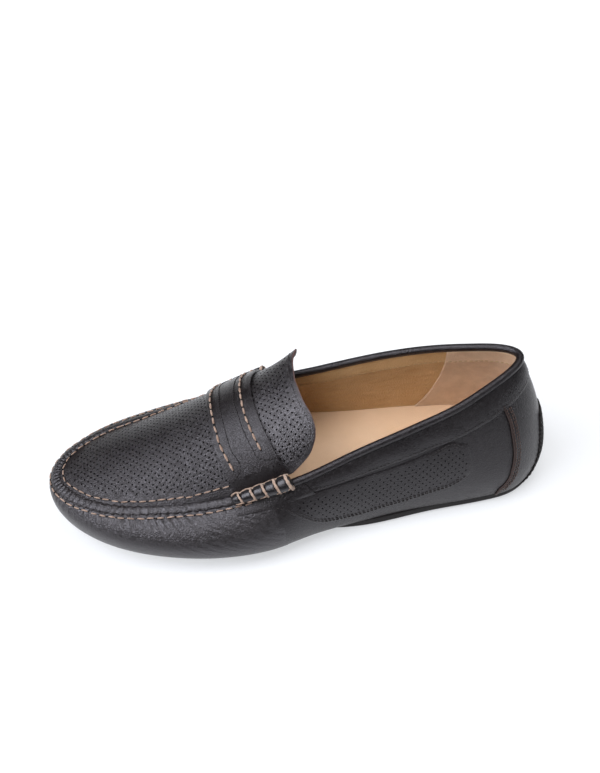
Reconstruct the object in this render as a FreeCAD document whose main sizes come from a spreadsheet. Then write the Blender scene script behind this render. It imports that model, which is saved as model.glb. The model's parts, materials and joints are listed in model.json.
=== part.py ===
import FreeCAD, Part
import os
from math import sin, cos, pi, hypot

# A left driving moccasin, in millimetres. The toe points to -X, the heel to +X,
# the outer (lateral) side of the foot is -Y, +Z is up and the ground is Z = 0.
# Every upper piece lies on one of two surfaces: the wall, which runs round the
# foot from the sole's edge to the topline, and the instep, the arch over the foot.

Vector = FreeCAD.Vector
os.makedirs("parts", exist_ok=True)
doc = FreeCAD.newDocument("moccasin")

# ---------------------------------------------------------------- driving sizes
SIZES = (
    ("leather", 1.4), ("lining", 0.8), ("layergap", 0.2),
    ("podheight", 1.7), ("solethick", 2.6), ("podradius", 3.4), ("podpitch", 13.0),
    ("boardthick", 1.5), ("sockthick", 1.2), ("forefootfoam", 4.6), ("heellift", 5.0),
    ("beadradius", 2.3), ("seamradius", 1.8), ("pipingradius", 0.6),
    ("bandheight", 16.0), ("threadradius", 0.55), ("stitchlength", 4.6), ("stitchpitch", 6.2),
    ("strapthick", 1.5), ("rollfront", 2.5), ("rollrear", 4.2), ("wrapthread", 0.7),
    ("tabthick", 1.6), ("foamthick", 1.0), ("centrex", 0.63), ("centrey", -0.22),
)
sheet = doc.addObject("Spreadsheet::Sheet", "Sizes")
for row, (alias, value) in enumerate(SIZES, start=1):
    sheet.set(f"A{row}", alias)
    sheet.set(f"B{row}", str(value))
    sheet.setAlias(f"B{row}", alias)
doc.recompute()


def size(alias):
    return float(sheet.get(alias))


LEATHER = size("leather")
LINING = size("lining")
LAYER_GAP = size("layergap")
CENTRE = FreeCAD.Placement(Vector(size("centrex"), size("centrey"), 0), FreeCAD.Rotation())


# ---------------------------------------------------------------- smooth curves
def smooth(stations, values, at):
    """A smooth curve through a few stations."""
    last = len(stations) - 1
    if at <= stations[0]:
        return values[0]
    if at >= stations[last]:
        return values[last]
    left = max(k for k in range(last) if stations[k] <= at)

    def slope(k):
        before, after = max(k - 1, 0), min(k + 1, last)
        if before == k or after == k:
            return (values[after] - values[before]) / (stations[after] - stations[before])
        back, ahead = stations[k] - stations[before], stations[after] - stations[k]
        rise_back = (values[k] - values[before]) / back
        rise_ahead = (values[after] - values[k]) / ahead
        return (rise_back * ahead + rise_ahead * back) / (ahead + back)

    span = stations[left + 1] - stations[left]
    u = (at - stations[left]) / span
    start, end = values[left], values[left + 1]
    return (start * (1 + 2 * u) * (1 - u) ** 2 + slope(left) * span * u * (1 - u) ** 2
            + end * u * u * (3 - 2 * u) - slope(left + 1) * span * u * u * (1 - u))


def blend(low, high, share):
    return low + (high - low) * share


# ---------------------------------------------------------------- the last's rings
# A ring runs round the foot. Its angle is 0 at the toe, +pi/2 on the lateral side,
# pi at the heel and -pi/2 on the medial side. Widths are given at shares of length.
SHARES = (0, .1, .2, .3, .4, .5, .6, .75, .85, .93, 1)
FOOT_CENTRE = (4, 3.6, 3, 2.2, 1.5, .6, 0, -1, -2, -2.4, -2.5)
TOP_CENTRE = (3.5, 3, 2.3, 1.8, 1.2, .6, .3, .3, .2, 0, 0)


def ring(toe, heel, lateral, medial, centre, z_at, z_lateral, z_medial):
    def place(angle):
        share = (1 - cos(angle)) / 2
        across = sin(angle)
        x = blend(toe, heel, share)
        width = smooth(SHARES, lateral if across >= 0 else medial, share)
        side = .5 + .5 * across / (abs(across) + .12)
        z = blend(smooth(z_at, z_medial, x), smooth(z_at, z_lateral, x), side)
        return Vector(x, smooth(SHARES, centre, share) - width * across, z)
    return place


FEATHER_Z = ((-137, -120, -95, -70, 140), (9, 6.5, 5, 4.7, 4.7))
feather = ring(-137, 139.5, (60, 58, 56, 54, 49.5, 42.5, 39.5, 40, 46, 55, 60),
               (56, 55.5, 54, 51, 47, 41.5, 39, 40, 46, 54, 61),
               FOOT_CENTRE, FEATHER_Z[0], FEATHER_Z[1], FEATHER_Z[1])
BELLY_Z = ((-146.5, -120, -80, -40, 0, 40, 100, 143.5), (23, 20, 17.5, 17, 18, 19, 19, 18))
belly = ring(-146.5, 143.5, (66, 68, 66.5, 63.5, 58.5, 48.5, 43.5, 43.7, 49.5, 58, 61),
             (61, 63.8, 63, 60, 54, 47, 42.5, 43.5, 49, 57, 63),
             FOOT_CENTRE, BELLY_Z[0], BELLY_Z[1], BELLY_Z[1])
top = ring(-141.5, 122.5, (50, 49.5, 44.8, 43, 41.3, 39.8, 35.7, 33.7, 33.8, 30.5, 28),
           (47.5, 47, 44.1, 43, 41.3, 40, 36.7, 34.6, 32.6, 29.5, 28),
           TOP_CENTRE,
           (-141.5, -120, -97, -75, -50, -30, -10, 7, 25, 45, 65, 84, 95, 112, 122.5),
           (30, 30.8, 31, 32.2, 36, 40.5, 45.7, 50, 55.2, 60.4, 65.6, 71, 74, 78, 80),
           (30, 31.5, 33, 35.8, 40, 44, 48.5, 53, 58, 63, 67.8, 71.9, 74.3, 78, 80))

STEP = .004             # small step used to find a surface's direction


def belly_share(angle):
    """The share of the wall's girth that lies below its widest line."""
    below = (belly(angle) - feather(angle)).Length * 1.1
    above = (top(angle) - belly(angle)).Length * 1.05
    return below / (below + above)


def wall_point(angle, rise):
    """The outer face of the upper: rise 0 at the sole's edge, 1 at the top ring."""
    low, wide, high = feather(angle), belly(angle), top(angle)
    widest = belly_share(angle)
    if rise <= widest:
        turn = pi / 2 * rise / widest
        out, up = sin(turn), 1 - cos(turn)
        start, end = low, wide
    else:
        part = (rise - widest) / (1 - widest)
        turn = pi / 2 * part
        roll = smooth((-141.5, -60, -20, 20, 122), (.75, .7, .45, .1, .05), high.x)
        out = blend(part ** 1.6, 1 - cos(turn), roll)
        up = blend(part, sin(turn), roll)
        start, end = wide, high
    return Vector(blend(start.x, end.x, out), blend(start.y, end.y, out), blend(start.z, end.z, up))


def inward(place, u, v, sense):
    along = place(u + STEP, v) - place(u - STEP, v)
    across = place(u, min(v + STEP, 1)) - place(u, max(v - STEP, 0))
    return along.cross(across).normalize() * sense


def wall(angle, rise, depth):
    """A point of the wall, depth below its outer face."""
    point = wall_point(angle, rise)
    return point + inward(wall_point, angle, rise, -1) * depth


def rise_below(angle, distance):
    """The rise that lies a distance below the top ring."""
    return 1 - distance * (1 - belly_share(angle)) / (top(angle) - belly(angle)).Length


def rise_at(angle, height, depth):
    """The rise at which a layer of the wall reaches a height above the ground."""
    low, high = .01, .9
    for _ in range(24):
        middle = (low + high) / 2
        if wall(angle, middle, depth).z < height:
            low = middle
        else:
            high = middle
    return low


# ---------------------------------------------------------------- the instep
RIDGE = ((-141.5, -120, -97, -75, -49, -27, -5, 15), (30.5, 37.5, 44, 51.5, 64, 73.5, 81, 87))
ARCH = ((-141.5, -90, -50, -20, 15), (.95, .95, .8, .62, .55))


def top_at(x, side):
    """The top ring's point at a given x, on the lateral (1) or medial (-1) side."""
    low, high = 0, pi
    for _ in range(36):
        middle = (low + high) / 2
        if top(middle * side).x < x:
            low = middle
        else:
            high = middle
    return top(low * side)


def half_width(x):
    return (top_at(x, -1).y - top_at(x, 1).y) / 2


def instep_point(x, across):
    """The arch over the foot: across is -1 at the lateral seam and 1 at the medial."""
    lateral, medial = top_at(x, 1), top_at(x, -1)
    middle = (lateral + medial) * .5
    edge = middle.z + (medial.z - lateral.z) / 2 * across
    crown = max(1 - across * across, 0) ** smooth(ARCH[0], ARCH[1], x)
    y = middle.y + half_width(x) * across
    return Vector(x, y, edge + (smooth(RIDGE[0], RIDGE[1], x) - middle.z) * crown)


def instep(x, across, depth):
    step = .02
    point = instep_point(x, across)
    along = instep_point(x + step, across) - instep_point(x - step, across)
    sideways = instep_point(x, min(across + step, .999)) - instep_point(x, max(across - step, -.999))
    return point - along.cross(sideways).normalize() * depth


# ---------------------------------------------------------------- solids
def curve(points):
    spline = Part.BSplineCurve()
    spline.interpolate(points)
    return spline.toShape()


def loft(wires):
    return Part.makeLoft(wires, True, False)


def sheet_solid(place, u_count, v_count, shallow, deep):
    """A sheet of even thickness on a surface; place(u, v, depth) takes shares 0 to 1."""
    skins, edges = [], []
    for depth in (shallow, deep):
        grid = [[place(i / u_count, j / v_count, depth) for j in range(v_count + 1)]
                for i in range(u_count + 1)]
        skin = Part.BSplineSurface()
        skin.interpolate(grid)
        u_low, u_high, v_low, v_high = skin.bounds()
        skins.append(skin.toShape())
        edges.append([skin.uIso(u_low).toShape(), skin.uIso(u_high).toShape(),
                      skin.vIso(v_low).toShape(), skin.vIso(v_high).toShape()])
    sides = [Part.makeRuledSurface(edges[0][k], edges[1][k]) for k in range(4)]
    shell = Part.Shell(skins + sides)
    shell.sewShape()
    solid = Part.Solid(shell)
    solid.fix(1e-5, 1e-5, 1e-5)
    if solid.Volume < 0:
        solid.reverse()
    return solid


def band(angle_from, angle_to, rise_from, rise_to, shallow, deep, columns, rows=6):
    """A sheet on the wall between two angles; the rises are functions of the angle."""
    def place(u, v, depth):
        angle = blend(angle_from, angle_to, u)
        return wall(angle, blend(rise_from(angle), rise_to(angle), v), depth)
    return sheet_solid(place, columns, rows, shallow, deep)


def tube(points, radii, sides=10):
    """A round bar through points, with its own radius at each."""
    wires = []
    for i, point in enumerate(points):
        ahead = points[min(i + 1, len(points) - 1)] - points[max(i - 1, 0)]
        side = ahead.cross(Vector(0, 0, 1)).normalize()
        up = side.cross(ahead).normalize()
        around = [point + (side * cos(2 * pi * k / sides) + up * sin(2 * pi * k / sides)) * radii[i]
                  for k in range(sides)]
        section = Part.BSplineCurve()
        section.interpolate(around, PeriodicFlag=True)
        wires.append(Part.Wire([section.toShape()]))
    return loft(wires)


def slab(edge, bottom, upper, columns=26, end=.16):
    """A flat or gently curved layer under the foot; edge(angle, height) gives its rim."""
    wires = []
    for i in range(columns + 1):
        angle = blend(end, pi - end, i / columns)
        corners = []
        for side, level in ((1, bottom), (-1, bottom), (-1, upper), (1, upper)):
            x = edge(angle, level).x
            rim = edge(angle * side, level)
            corners.append(Vector(x, rim.y, level(x)))
        corners = [Vector(corners[0].x, c.y, c.z) for c in corners]
        wires.append(Part.Wire([Part.makeLine(corners[k], corners[(k + 1) % 4]) for k in range(4)]))
    return loft(wires)


def stitch(start, end):
    along = end - start
    return Part.makeCylinder(size("threadradius"), along.Length, start, along)


def stitch_row(place, share_from, share_to, length):
    """Short straight stitches, evenly spaced along place(share)."""
    pitch = size("stitchpitch")
    count = int(length / pitch)
    half = size("stitchlength") / pitch / 2
    stitches = []
    for i in range(count):
        ends = [blend(share_from, share_to, (i + .5 + offset) / count) for offset in (-half, half)]
        stitches.append(stitch(place(ends[0]), place(ends[1])))
    return Part.makeCompound(stitches)


# ---------------------------------------------------------------- nodes
made = []


def add(label, shape):
    node = doc.addObject("Part::Feature", label)
    node.Label = label
    node.Shape = shape
    node.Placement = CENTRE
    made.append(node)
    return node


def padded_plate(label, outline, level_alias, thick_alias):
    """A flat plate drawn as a sketch and padded, both bound to the sheet."""
    body = doc.addObject("PartDesign::Body", label)
    body.Label = label
    sketch = body.newObject("Sketcher::SketchObject", f"{label}_outline")
    plane = [f for f in body.Origin.OriginFeatures if f.Role == "XY_Plane"][0]
    sketch.AttachmentSupport = [(plane, "")]
    sketch.MapMode = "FlatFace"
    spline = Part.BSplineCurve()
    spline.interpolate(outline, PeriodicFlag=True)
    sketch.addGeometry(spline, False)
    sketch.setExpression("AttachmentOffset.Base.z", level_alias)
    pad = body.newObject("PartDesign::Pad", f"{label}_pad")
    pad.Profile = sketch
    pad.setExpression("Length", thick_alias)
    doc.recompute()
    body.Placement = CENTRE
    made.append(body)
    return body


def outline_points(edge, count=40):
    ring_points = [edge(2 * pi * k / count - pi) for k in range(count)]
    return [Vector(p.x, p.y, 0) for p in ring_points]


VAMP_END = 1.43                   # angle of the seam between vamp and quarters
COLLAR_START = 1.54               # angle where the collar starts, behind the strap
COUNTER_START = 2.54              # angle of the seam between quarters and counter
STRAP_FRONT, STRAP_REAR = -52.5, -28.7      # the strap's edges over the instep, in x
ROLL_FRONT, ROLL_REAR = -47.0, -15.0        # the beefroll's ends, in x
SWEEP_BACK = 14.0                 # how far the strap's rear edge runs back at its ends
STRAP_REACH = .86                 # how far down the instep the strap goes, as a share
TONGUE_REACH = .9                 # and the tongue
TONGUE_GAP = 1.1                  # from the strap to the tongue's front edge, which swings


def strap_rear(across):
    return STRAP_REAR + SWEEP_BACK * abs(across) ** 2.6


def strap_front(across):
    return STRAP_FRONT + 9 * abs(across) ** 5


def sole_edge(angle):
    """The rubber sole: flush with the upper from waist to heel, set in at the forefoot."""
    edge = feather(angle)
    inset = smooth((-137, -60, -10, 20, 140), (9, 9, 6, -.8, -.8), edge.x)
    away = Vector(0, edge.y, 0) if abs(edge.x) < 60 else edge - Vector(60 if edge.x > 0 else -60, 0, 0)
    away.z = 0
    return edge - away.normalize() * inset


def board_edge(angle):
    edge = feather(angle)
    away = Vector(edge.x / 2, edge.y, 0).normalize()
    return edge - away * 2


def build_sole():
    padded_plate("outsole", outline_points(sole_edge), "Sizes.podheight", "Sizes.solethick")
    pitch, radius = size("podpitch"), size("podradius")
    pods = []
    for column in range(-10, 11):
        for line in range(-4, 5):
            x = column * pitch
            y = (line + .5 * (column % 2)) * pitch
            angle_share = (x + 137) / 276.5
            if not .13 < angle_share < .985:
                continue
            across = 2 * (angle_share * (1 - angle_share)) ** .5
            centre_y = smooth(SHARES, FOOT_CENTRE, angle_share)
            reach = smooth((-137, -60, -10, 20, 140), (41, 41, 38, 36, 44), x) * across - 2
            if abs(y - centre_y) < reach:
                pods.append(Part.makeCone(radius - .6, radius, size("podheight"), Vector(x, y, 0)))
    add("tread_pods", Part.makeCompound(pods))


def inner_edge(depth):
    """The rim of a layer that meets the lining at a given height."""
    def edge(angle, level):
        start = feather(angle).x
        return wall(angle, rise_at(angle, level(start), depth), depth)
    return edge


def build_footbed():
    top_of_sole = size("podheight") + size("solethick")
    base_bottom = top_of_sole + .2
    base_top = base_bottom + LEATHER

    def toe_spring(height):
        return lambda x: height + smooth((-140, -120, -100, -75), (4.4, 2, .6, 0), x)

    def feather_edge(inset):
        def edge(angle, level):
            rim = feather(angle)
            away = Vector(rim.x / 2, rim.y, 0).normalize()
            return rim - away * inset
        return edge

    add("leather_base", slab(feather_edge(.5), toe_spring(base_bottom), toe_spring(base_top)))
    board_bottom = base_top + LAYER_GAP
    board_top = board_bottom + size("boardthick")
    add("insole_board", slab(feather_edge(3), toe_spring(board_bottom), toe_spring(board_top)))
    foam_bottom = board_top + .4
    foam_top = foam_bottom + size("forefootfoam")
    clear_of_lining = inner_edge(4.8)

    def heel_rise(height):
        return lambda x: height + smooth((-140, -75, 0, 70, 140), (4, 0, .3, .8, 1), x)

    add("footbed_foam", slab(clear_of_lining, toe_spring(foam_bottom), heel_rise(foam_top)))

    def sock_level(height):
        lift = size("heellift")
        return lambda x: height + smooth((-140, 0, 60, 140), (0, .1, .8, 1), x) * lift

    def heel_pad_edge(angle, level):
        rim = clear_of_lining(angle, level)
        share = (1 - cos(angle)) / 2
        return Vector(blend(20, 132, share), rim.y, rim.z)

    pad_wires = []
    for i in range(13):
        x = blend(14, 126, i / 12)
        reach = smooth((14, 60, 100, 118, 126), (31, 30, 27, 20, 11), x)
        y = smooth((14, 126), (.2, -2.2), x)
        low = heel_rise(foam_top)(x) + LAYER_GAP
        high = max(sock_level(foam_top)(x), low + .5)
        corners = (Vector(x, y - reach, low), Vector(x, y + reach, low),
                   Vector(x, y + reach, high), Vector(x, y - reach, high))
        pad_wires.append(Part.Wire([Part.makeLine(corners[k], corners[(k + 1) % 4])
                                    for k in range(4)]))
    add("heel_pad", loft(pad_wires))

    def sock_bottom(x):
        return max(sock_level(foam_top)(x), heel_rise(foam_top)(x) + LAYER_GAP + .5) + LAYER_GAP

    def sock_top(x):
        return sock_bottom(x) + size("sockthick")

    add("sock_lining", slab(clear_of_lining, sock_bottom, sock_top))


def collar_rise(angle):
    """The collar band's lower edge: the band is lower at its front end and at the heel."""
    round_to = angle if angle <= pi else 2 * pi - angle
    share = smooth((COLLAR_START, 1.8, 2.1, 2.6, pi), (.6, .86, .97, 1, .8), round_to)
    return rise_below(angle, size("bandheight") * share)


def rim_rise(angle):
    return rise_below(angle, size("beadradius") + .6)


def seam_rise(angle):
    return rise_below(angle, size("seamradius") + .9)


def bottom_rise(angle):
    return 0


def lining_foot(angle):
    """Where the linings start, just above the bottom of the foam footbed."""
    return rise_at(angle, 9.6 + max(-(feather(angle).x + 90) / 12, 0), 3)


def build_wall():
    gap = .006
    inside = LEATHER + LAYER_GAP
    add("vamp", band(-VAMP_END + gap, VAMP_END - gap, bottom_rise, seam_rise, 0, LEATHER, 44, 10))
    add("vamp_lining", band(-1.42, 1.42, lining_foot, lambda a: rise_below(a, 5),
                            inside, inside + LINING, 36))
    for name, side in (("lateral", 1), ("medial", -1)):
        start, end = side * (VAMP_END + gap), side * (COUNTER_START - gap)

        def quarter_top(angle):
            """The quarter runs up to the seam under the strap, and to the band behind it."""
            step_down = smooth((COLLAR_START - .06, COLLAR_START), (0, 1), abs(angle))
            return blend(seam_rise(abs(angle)), collar_rise(abs(angle)) - .012, step_down)

        quarter = band(start, end, bottom_rise, quarter_top, 0, LEATHER, 24, 10)
        if side == 1:
            add_panel(quarter, start, end)
        else:
            add("quarter_medial", quarter)
        lining_top = size("foamthick") + inside + LAYER_GAP
        add(f"quarter_lining_{name}",
            band(side * 1.46, side * 2.36, lining_foot, lambda a: rise_below(a, 1.2),
                 lining_top, lining_top + LINING, 14))
    heel = (COUNTER_START + gap, 2 * pi - COUNTER_START - gap)
    add("counter", band(heel[0], heel[1], bottom_rise, lambda a: collar_rise(a) - .012,
                        0, LEATHER, 18, 10))
    add("heel_stiffener", band(2.48, 2 * pi - 2.48, lining_foot, lambda a: rise_below(a, 19),
                               inside, inside + size("foamthick"), 20))
    add("heel_lining", band(2.375, 2 * pi - 2.375, lining_foot, lambda a: rise_below(a, 1.2),
                            lining_top, lining_top + LINING, 22))


def leaf(grow):
    """The side window: a long leaf, pointed at both ends, drawn in X and Z."""
    lower = [Vector(-16 - grow, -90, 36), Vector(-3, -90, 22 - grow), Vector(17, -90, 15.5 - grow * .8),
             Vector(40, -90, 15.5 - grow * .8), Vector(65, -90, 19 - grow), Vector(82, -90, 24.5 - grow),
             Vector(89.5 + grow, -90, 33)]
    upper = [Vector(89.5 + grow, -90, 33), Vector(88 + grow, -90, 42), Vector(80, -90, 48 + grow),
             Vector(63, -90, 45.5 + grow), Vector(43, -90, 41 + grow), Vector(22, -90, 38.5 + grow * .5),
             Vector(3, -90, 37 + grow * .4), Vector(-16 - grow, -90, 36)]
    face = Part.Face(Part.Wire([curve(lower), curve(upper)]))
    return face.extrude(Vector(0, 80, 0))


def add_panel(quarter, start, end):
    window = leaf(0)
    add("quarter_lateral", quarter.cut(window))
    backing = band(start, end, lining_foot, lambda a: rise_below(a, 17),
                   LEATHER + LAYER_GAP, LEATHER + LAYER_GAP + LINING, 14)
    add("perforated_panel", backing.common(leaf(3)))


def build_collar():
    heel_way = (COLLAR_START, 2 * pi - COLLAR_START)
    add("collar_band", band(heel_way[0], heel_way[1], collar_rise, rim_rise, 0, LEATHER, 48))
    inside = LEATHER + LAYER_GAP
    add("collar_foam", band(COLLAR_START + .1, 2 * pi - COLLAR_START - .1,
                            lambda a: rise_below(a, 12),
                            lambda a: rise_below(a, 3.6), inside, inside + size("foamthick"), 44))
    radius = size("beadradius")
    count = 48
    path = [top(blend(heel_way[0], heel_way[1], i / count)) for i in range(count + 1)]
    add("collar_bead", tube(path, [radius] * len(path)))


def build_heel():
    thick = size("tabthick")

    def place(u, v, depth):
        reach = .36 * (1 - .45 * v ** 3)
        return wall(pi + reach * (2 * u - 1), blend(.07, .52, v), depth)
    add("heel_tab", sheet_solid(place, 12, 8, -thick - LAYER_GAP, -LAYER_GAP))
    for name, side in (("lateral", 1), ("medial", -1)):
        radius = size("pipingradius")
        path = [wall(side * COUNTER_START, blend(.12, collar_rise(COUNTER_START) - .05, i / 10),
                     -radius - .15) for i in range(11)]
        wires = []
        for point in path:
            circle = Part.Circle(point, Vector(0, 0, 1), radius)
            wires.append(Part.Wire([circle.toShape()]))
        add(f"counter_piping_{name}", loft(wires))


def edge_share(x, margin):
    return 1 - margin / half_width(x)


def build_apron():
    def apron_place(rear_gap, margin, front):
        def place(u, v, depth):
            across = 2 * v - 1
            x = blend(front, strap_rear(across) - rear_gap, u)
            return instep(x, across * edge_share(x, margin), depth)
        return place

    add("apron", sheet_solid(apron_place(2, 3.6, -138.0), 22, 12, 0, LEATHER))
    add("apron_lining", sheet_solid(apron_place(5, 6, -134), 20, 10, LEATHER + LAYER_GAP,
                                    LEATHER + LAYER_GAP + LINING))
    radius = size("seamradius")
    count = 44
    reach = 1.22
    path = [top(blend(-reach, reach, i / count)) + Vector(0, 0, .8) for i in range(count + 1)]
    add("moc_seam", tube(path, [radius] * len(path)))

    proud = size("threadradius") + .35

    def inner_row(share):
        angle = blend(-1.15, 1.15, share)
        point = top(angle)
        side = -1 if angle >= 0 else 1
        x = max(point.x, -137) + 1.2
        return instep(x, side * edge_share(x, 4.6) * min(abs(point.y - 3.5) / half_width(x), 1), -proud)

    def outer_row(share):
        angle = blend(-1.36, 1.36, share)
        return wall(angle, rise_below(angle, 4.6), -proud)

    add("apron_stitches", stitch_row(inner_row, 0, 1, 215))
    add("vamp_stitches", stitch_row(outer_row, 0, 1, 275))


def build_strap():
    lift = size("strapthick") + LAYER_GAP

    def place(u, v, depth):
        across = (2 * v - 1) * STRAP_REACH
        x = blend(strap_front(across), strap_rear(across), u)
        return instep(x, across, depth)
    add("strap", sheet_solid(place, 8, 14, -lift, -LAYER_GAP))

    proud = lift + size("threadradius") + .3

    def row(start_x, sweep):
        def at(share):
            across = blend(-.76, .76, share)
            return instep(start_x + sweep * abs(across) ** 2.6, across, -proud)
        return at
    add("strap_stitches_front", stitch_row(row(STRAP_FRONT + 2.2, 12.5), 0, 1, 86))
    add("strap_stitches_rear", stitch_row(row(STRAP_REAR - 5.3, 14.5), 0, 1, 90))

    for name, side in (("lateral", 1), ("medial", -1)):
        path, radii = [], []
        for i in range(9):
            share = i / 8
            radius = blend(size("rollfront"), size("rollrear"), share)
            point = top_at(blend(ROLL_FRONT, ROLL_REAR, share), side)
            outward = Vector(0, -side * blend(2.2, 3, share), blend(2.6, 5.6, share))
            path.append(point + outward)
            radii.append(radius)
        add(f"beefroll_{name}", tube(path, radii))
        wraps = []
        for i in range(5):
            share = .12 + .19 * i
            near = share * 8
            index = int(near)
            centre = blend(path[index], path[index + 1], near - index)
            along = path[-1] - path[0]
            thread = size("wrapthread")
            radius = blend(radii[0], radii[-1], share) + thread + .15
            wraps.append(Part.makeTorus(radius, thread, centre, along))
        add(f"beefroll_wraps_{name}", Part.makeCompound(wraps))


def build_tongue():
    def place(u, v, depth):
        across = (2 * v - 1) * TONGUE_REACH
        rear = smooth((0, .36, .6, .74, .84, .925), (-5, -3, .1, .6, -1, -6), abs(across))
        x = blend(strap_rear(across) + TONGUE_GAP, rear, u)
        flare = smooth((-1, -.2, .5, 1), (.3, 1, 4.5, 2), across) * u ** 1.6
        return instep(x, across, depth - flare)
    add("tongue", sheet_solid(place, 8, 14, 0, LEATHER))


build_sole()
build_footbed()
build_wall()
build_collar()
build_heel()
build_apron()
build_strap()
build_tongue()

doc.recompute()
for item in doc.Objects:
    if "Invalid" in item.State or "Error" in item.State:
        raise SystemExit(f"{item.Label} failed: {item.State}")
faulty = [node.Label for node in made if node.Shape.isNull() or not node.Shape.isValid()]
if faulty:
    raise SystemExit(f"no valid shape: {', '.join(faulty)}")
for node in made:
    node.Shape.exportStep(f"parts/{node.Label}.step")
    box = node.Shape.BoundBox
    print(f"{node.Label:26s} solids {len(node.Shape.Solids):3d} volume {node.Shape.Volume:9.1f} "
          f"x {box.XMin:7.1f} {box.XMax:6.1f} y {box.YMin:6.1f} {box.YMax:6.1f} "
          f"z {box.ZMin:5.1f} {box.ZMax:5.1f}")
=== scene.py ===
import json
from math import pi, radians

import bmesh
import bpy
import numpy as np
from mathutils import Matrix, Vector

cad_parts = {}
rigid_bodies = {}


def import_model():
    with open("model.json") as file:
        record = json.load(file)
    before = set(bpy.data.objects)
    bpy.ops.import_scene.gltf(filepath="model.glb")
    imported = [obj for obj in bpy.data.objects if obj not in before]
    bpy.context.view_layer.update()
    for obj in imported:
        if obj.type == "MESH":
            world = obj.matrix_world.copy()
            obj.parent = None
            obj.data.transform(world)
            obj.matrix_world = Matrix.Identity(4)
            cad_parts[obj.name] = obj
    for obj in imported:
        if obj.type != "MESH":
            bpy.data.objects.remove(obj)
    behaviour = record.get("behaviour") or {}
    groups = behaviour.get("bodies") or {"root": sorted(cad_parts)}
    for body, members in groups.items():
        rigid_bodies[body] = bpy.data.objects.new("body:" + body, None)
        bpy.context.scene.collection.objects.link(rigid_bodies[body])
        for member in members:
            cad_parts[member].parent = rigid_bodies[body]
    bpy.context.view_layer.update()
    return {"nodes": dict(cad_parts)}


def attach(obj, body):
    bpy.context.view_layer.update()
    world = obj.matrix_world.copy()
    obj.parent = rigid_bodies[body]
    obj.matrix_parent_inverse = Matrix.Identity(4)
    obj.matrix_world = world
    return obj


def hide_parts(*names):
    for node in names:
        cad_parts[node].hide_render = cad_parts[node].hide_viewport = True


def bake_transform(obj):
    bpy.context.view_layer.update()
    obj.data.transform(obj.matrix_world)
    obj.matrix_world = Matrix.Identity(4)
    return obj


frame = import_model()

# A left driving moccasin. Lengths on the last are in millimetres; in_metres() turns
# them into the scene's. The toe points to -X, the outer side of the foot is -Y.
# Every leather piece lies on one of two surfaces: the wall round the foot, and the
# instep, the arch over it. "proud" is how far a point stands off such a surface.

MM = .001
LAST_SHIFT = np.array((.63, -.22, 0))
SHOE, TONGUE = "shoe", "tongue"
chance = np.random.default_rng(7)


def in_metres(points):
    return (np.asarray(points, float) + LAST_SHIFT) * MM


# ------------------------------------------------------------------ the last
SHARES = (0, .1, .2, .3, .4, .5, .6, .75, .85, .93, 1)
FOOT_CENTRE = (4, 3.6, 3, 2.2, 1.5, .6, 0, -1, -2, -2.4, -2.5)
TOP_CENTRE = (3.5, 3, 2.3, 1.8, 1.2, .6, .3, .3, .2, 0, 0)


def smooth(stations, values, at):
    """A smooth curve through a few stations, held flat beyond them."""
    xs, vs = np.asarray(stations, float), np.asarray(values, float)
    at = np.clip(np.asarray(at, float), xs[0], xs[-1])
    gaps = np.diff(xs)
    rise = np.diff(vs) / gaps
    slopes = np.empty_like(vs)
    slopes[0], slopes[-1] = rise[0], rise[-1]
    slopes[1:-1] = (rise[:-1] * gaps[1:] + rise[1:] * gaps[:-1]) / (gaps[1:] + gaps[:-1])
    left = np.clip(np.searchsorted(xs, at, side="right") - 1, 0, len(xs) - 2)
    span = gaps[left]
    u = (at - xs[left]) / span
    return (vs[left] * (1 + 2 * u) * (1 - u) ** 2 + slopes[left] * span * u * (1 - u) ** 2
            + vs[left + 1] * u * u * (3 - 2 * u) - slopes[left + 1] * span * u * u * (1 - u))


def blend(low, high, share):
    return low + (high - low) * share


def step_up(start, end, at):
    """0 before start, 1 after end, smooth between."""
    t = np.clip((np.asarray(at, float) - start) / (end - start), 0, 1)
    return t * t * (3 - 2 * t)


def ring(toe, heel, lateral, medial, centre, z_at, z_lateral, z_medial):
    """A line round the foot. Its angle is 0 at the toe, +pi/2 lateral, pi at the heel."""
    def place(angle):
        share = (1 - np.cos(angle)) / 2
        across = np.sin(angle)
        x = blend(toe, heel, share)
        width = np.where(across >= 0, smooth(SHARES, lateral, share), smooth(SHARES, medial, share))
        side = .5 + .5 * across / (np.abs(across) + .12)
        z = blend(smooth(z_at, z_medial, x), smooth(z_at, z_lateral, x), side)
        return np.stack(np.broadcast_arrays(x, smooth(SHARES, centre, share) - width * across, z), -1)
    return place


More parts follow.
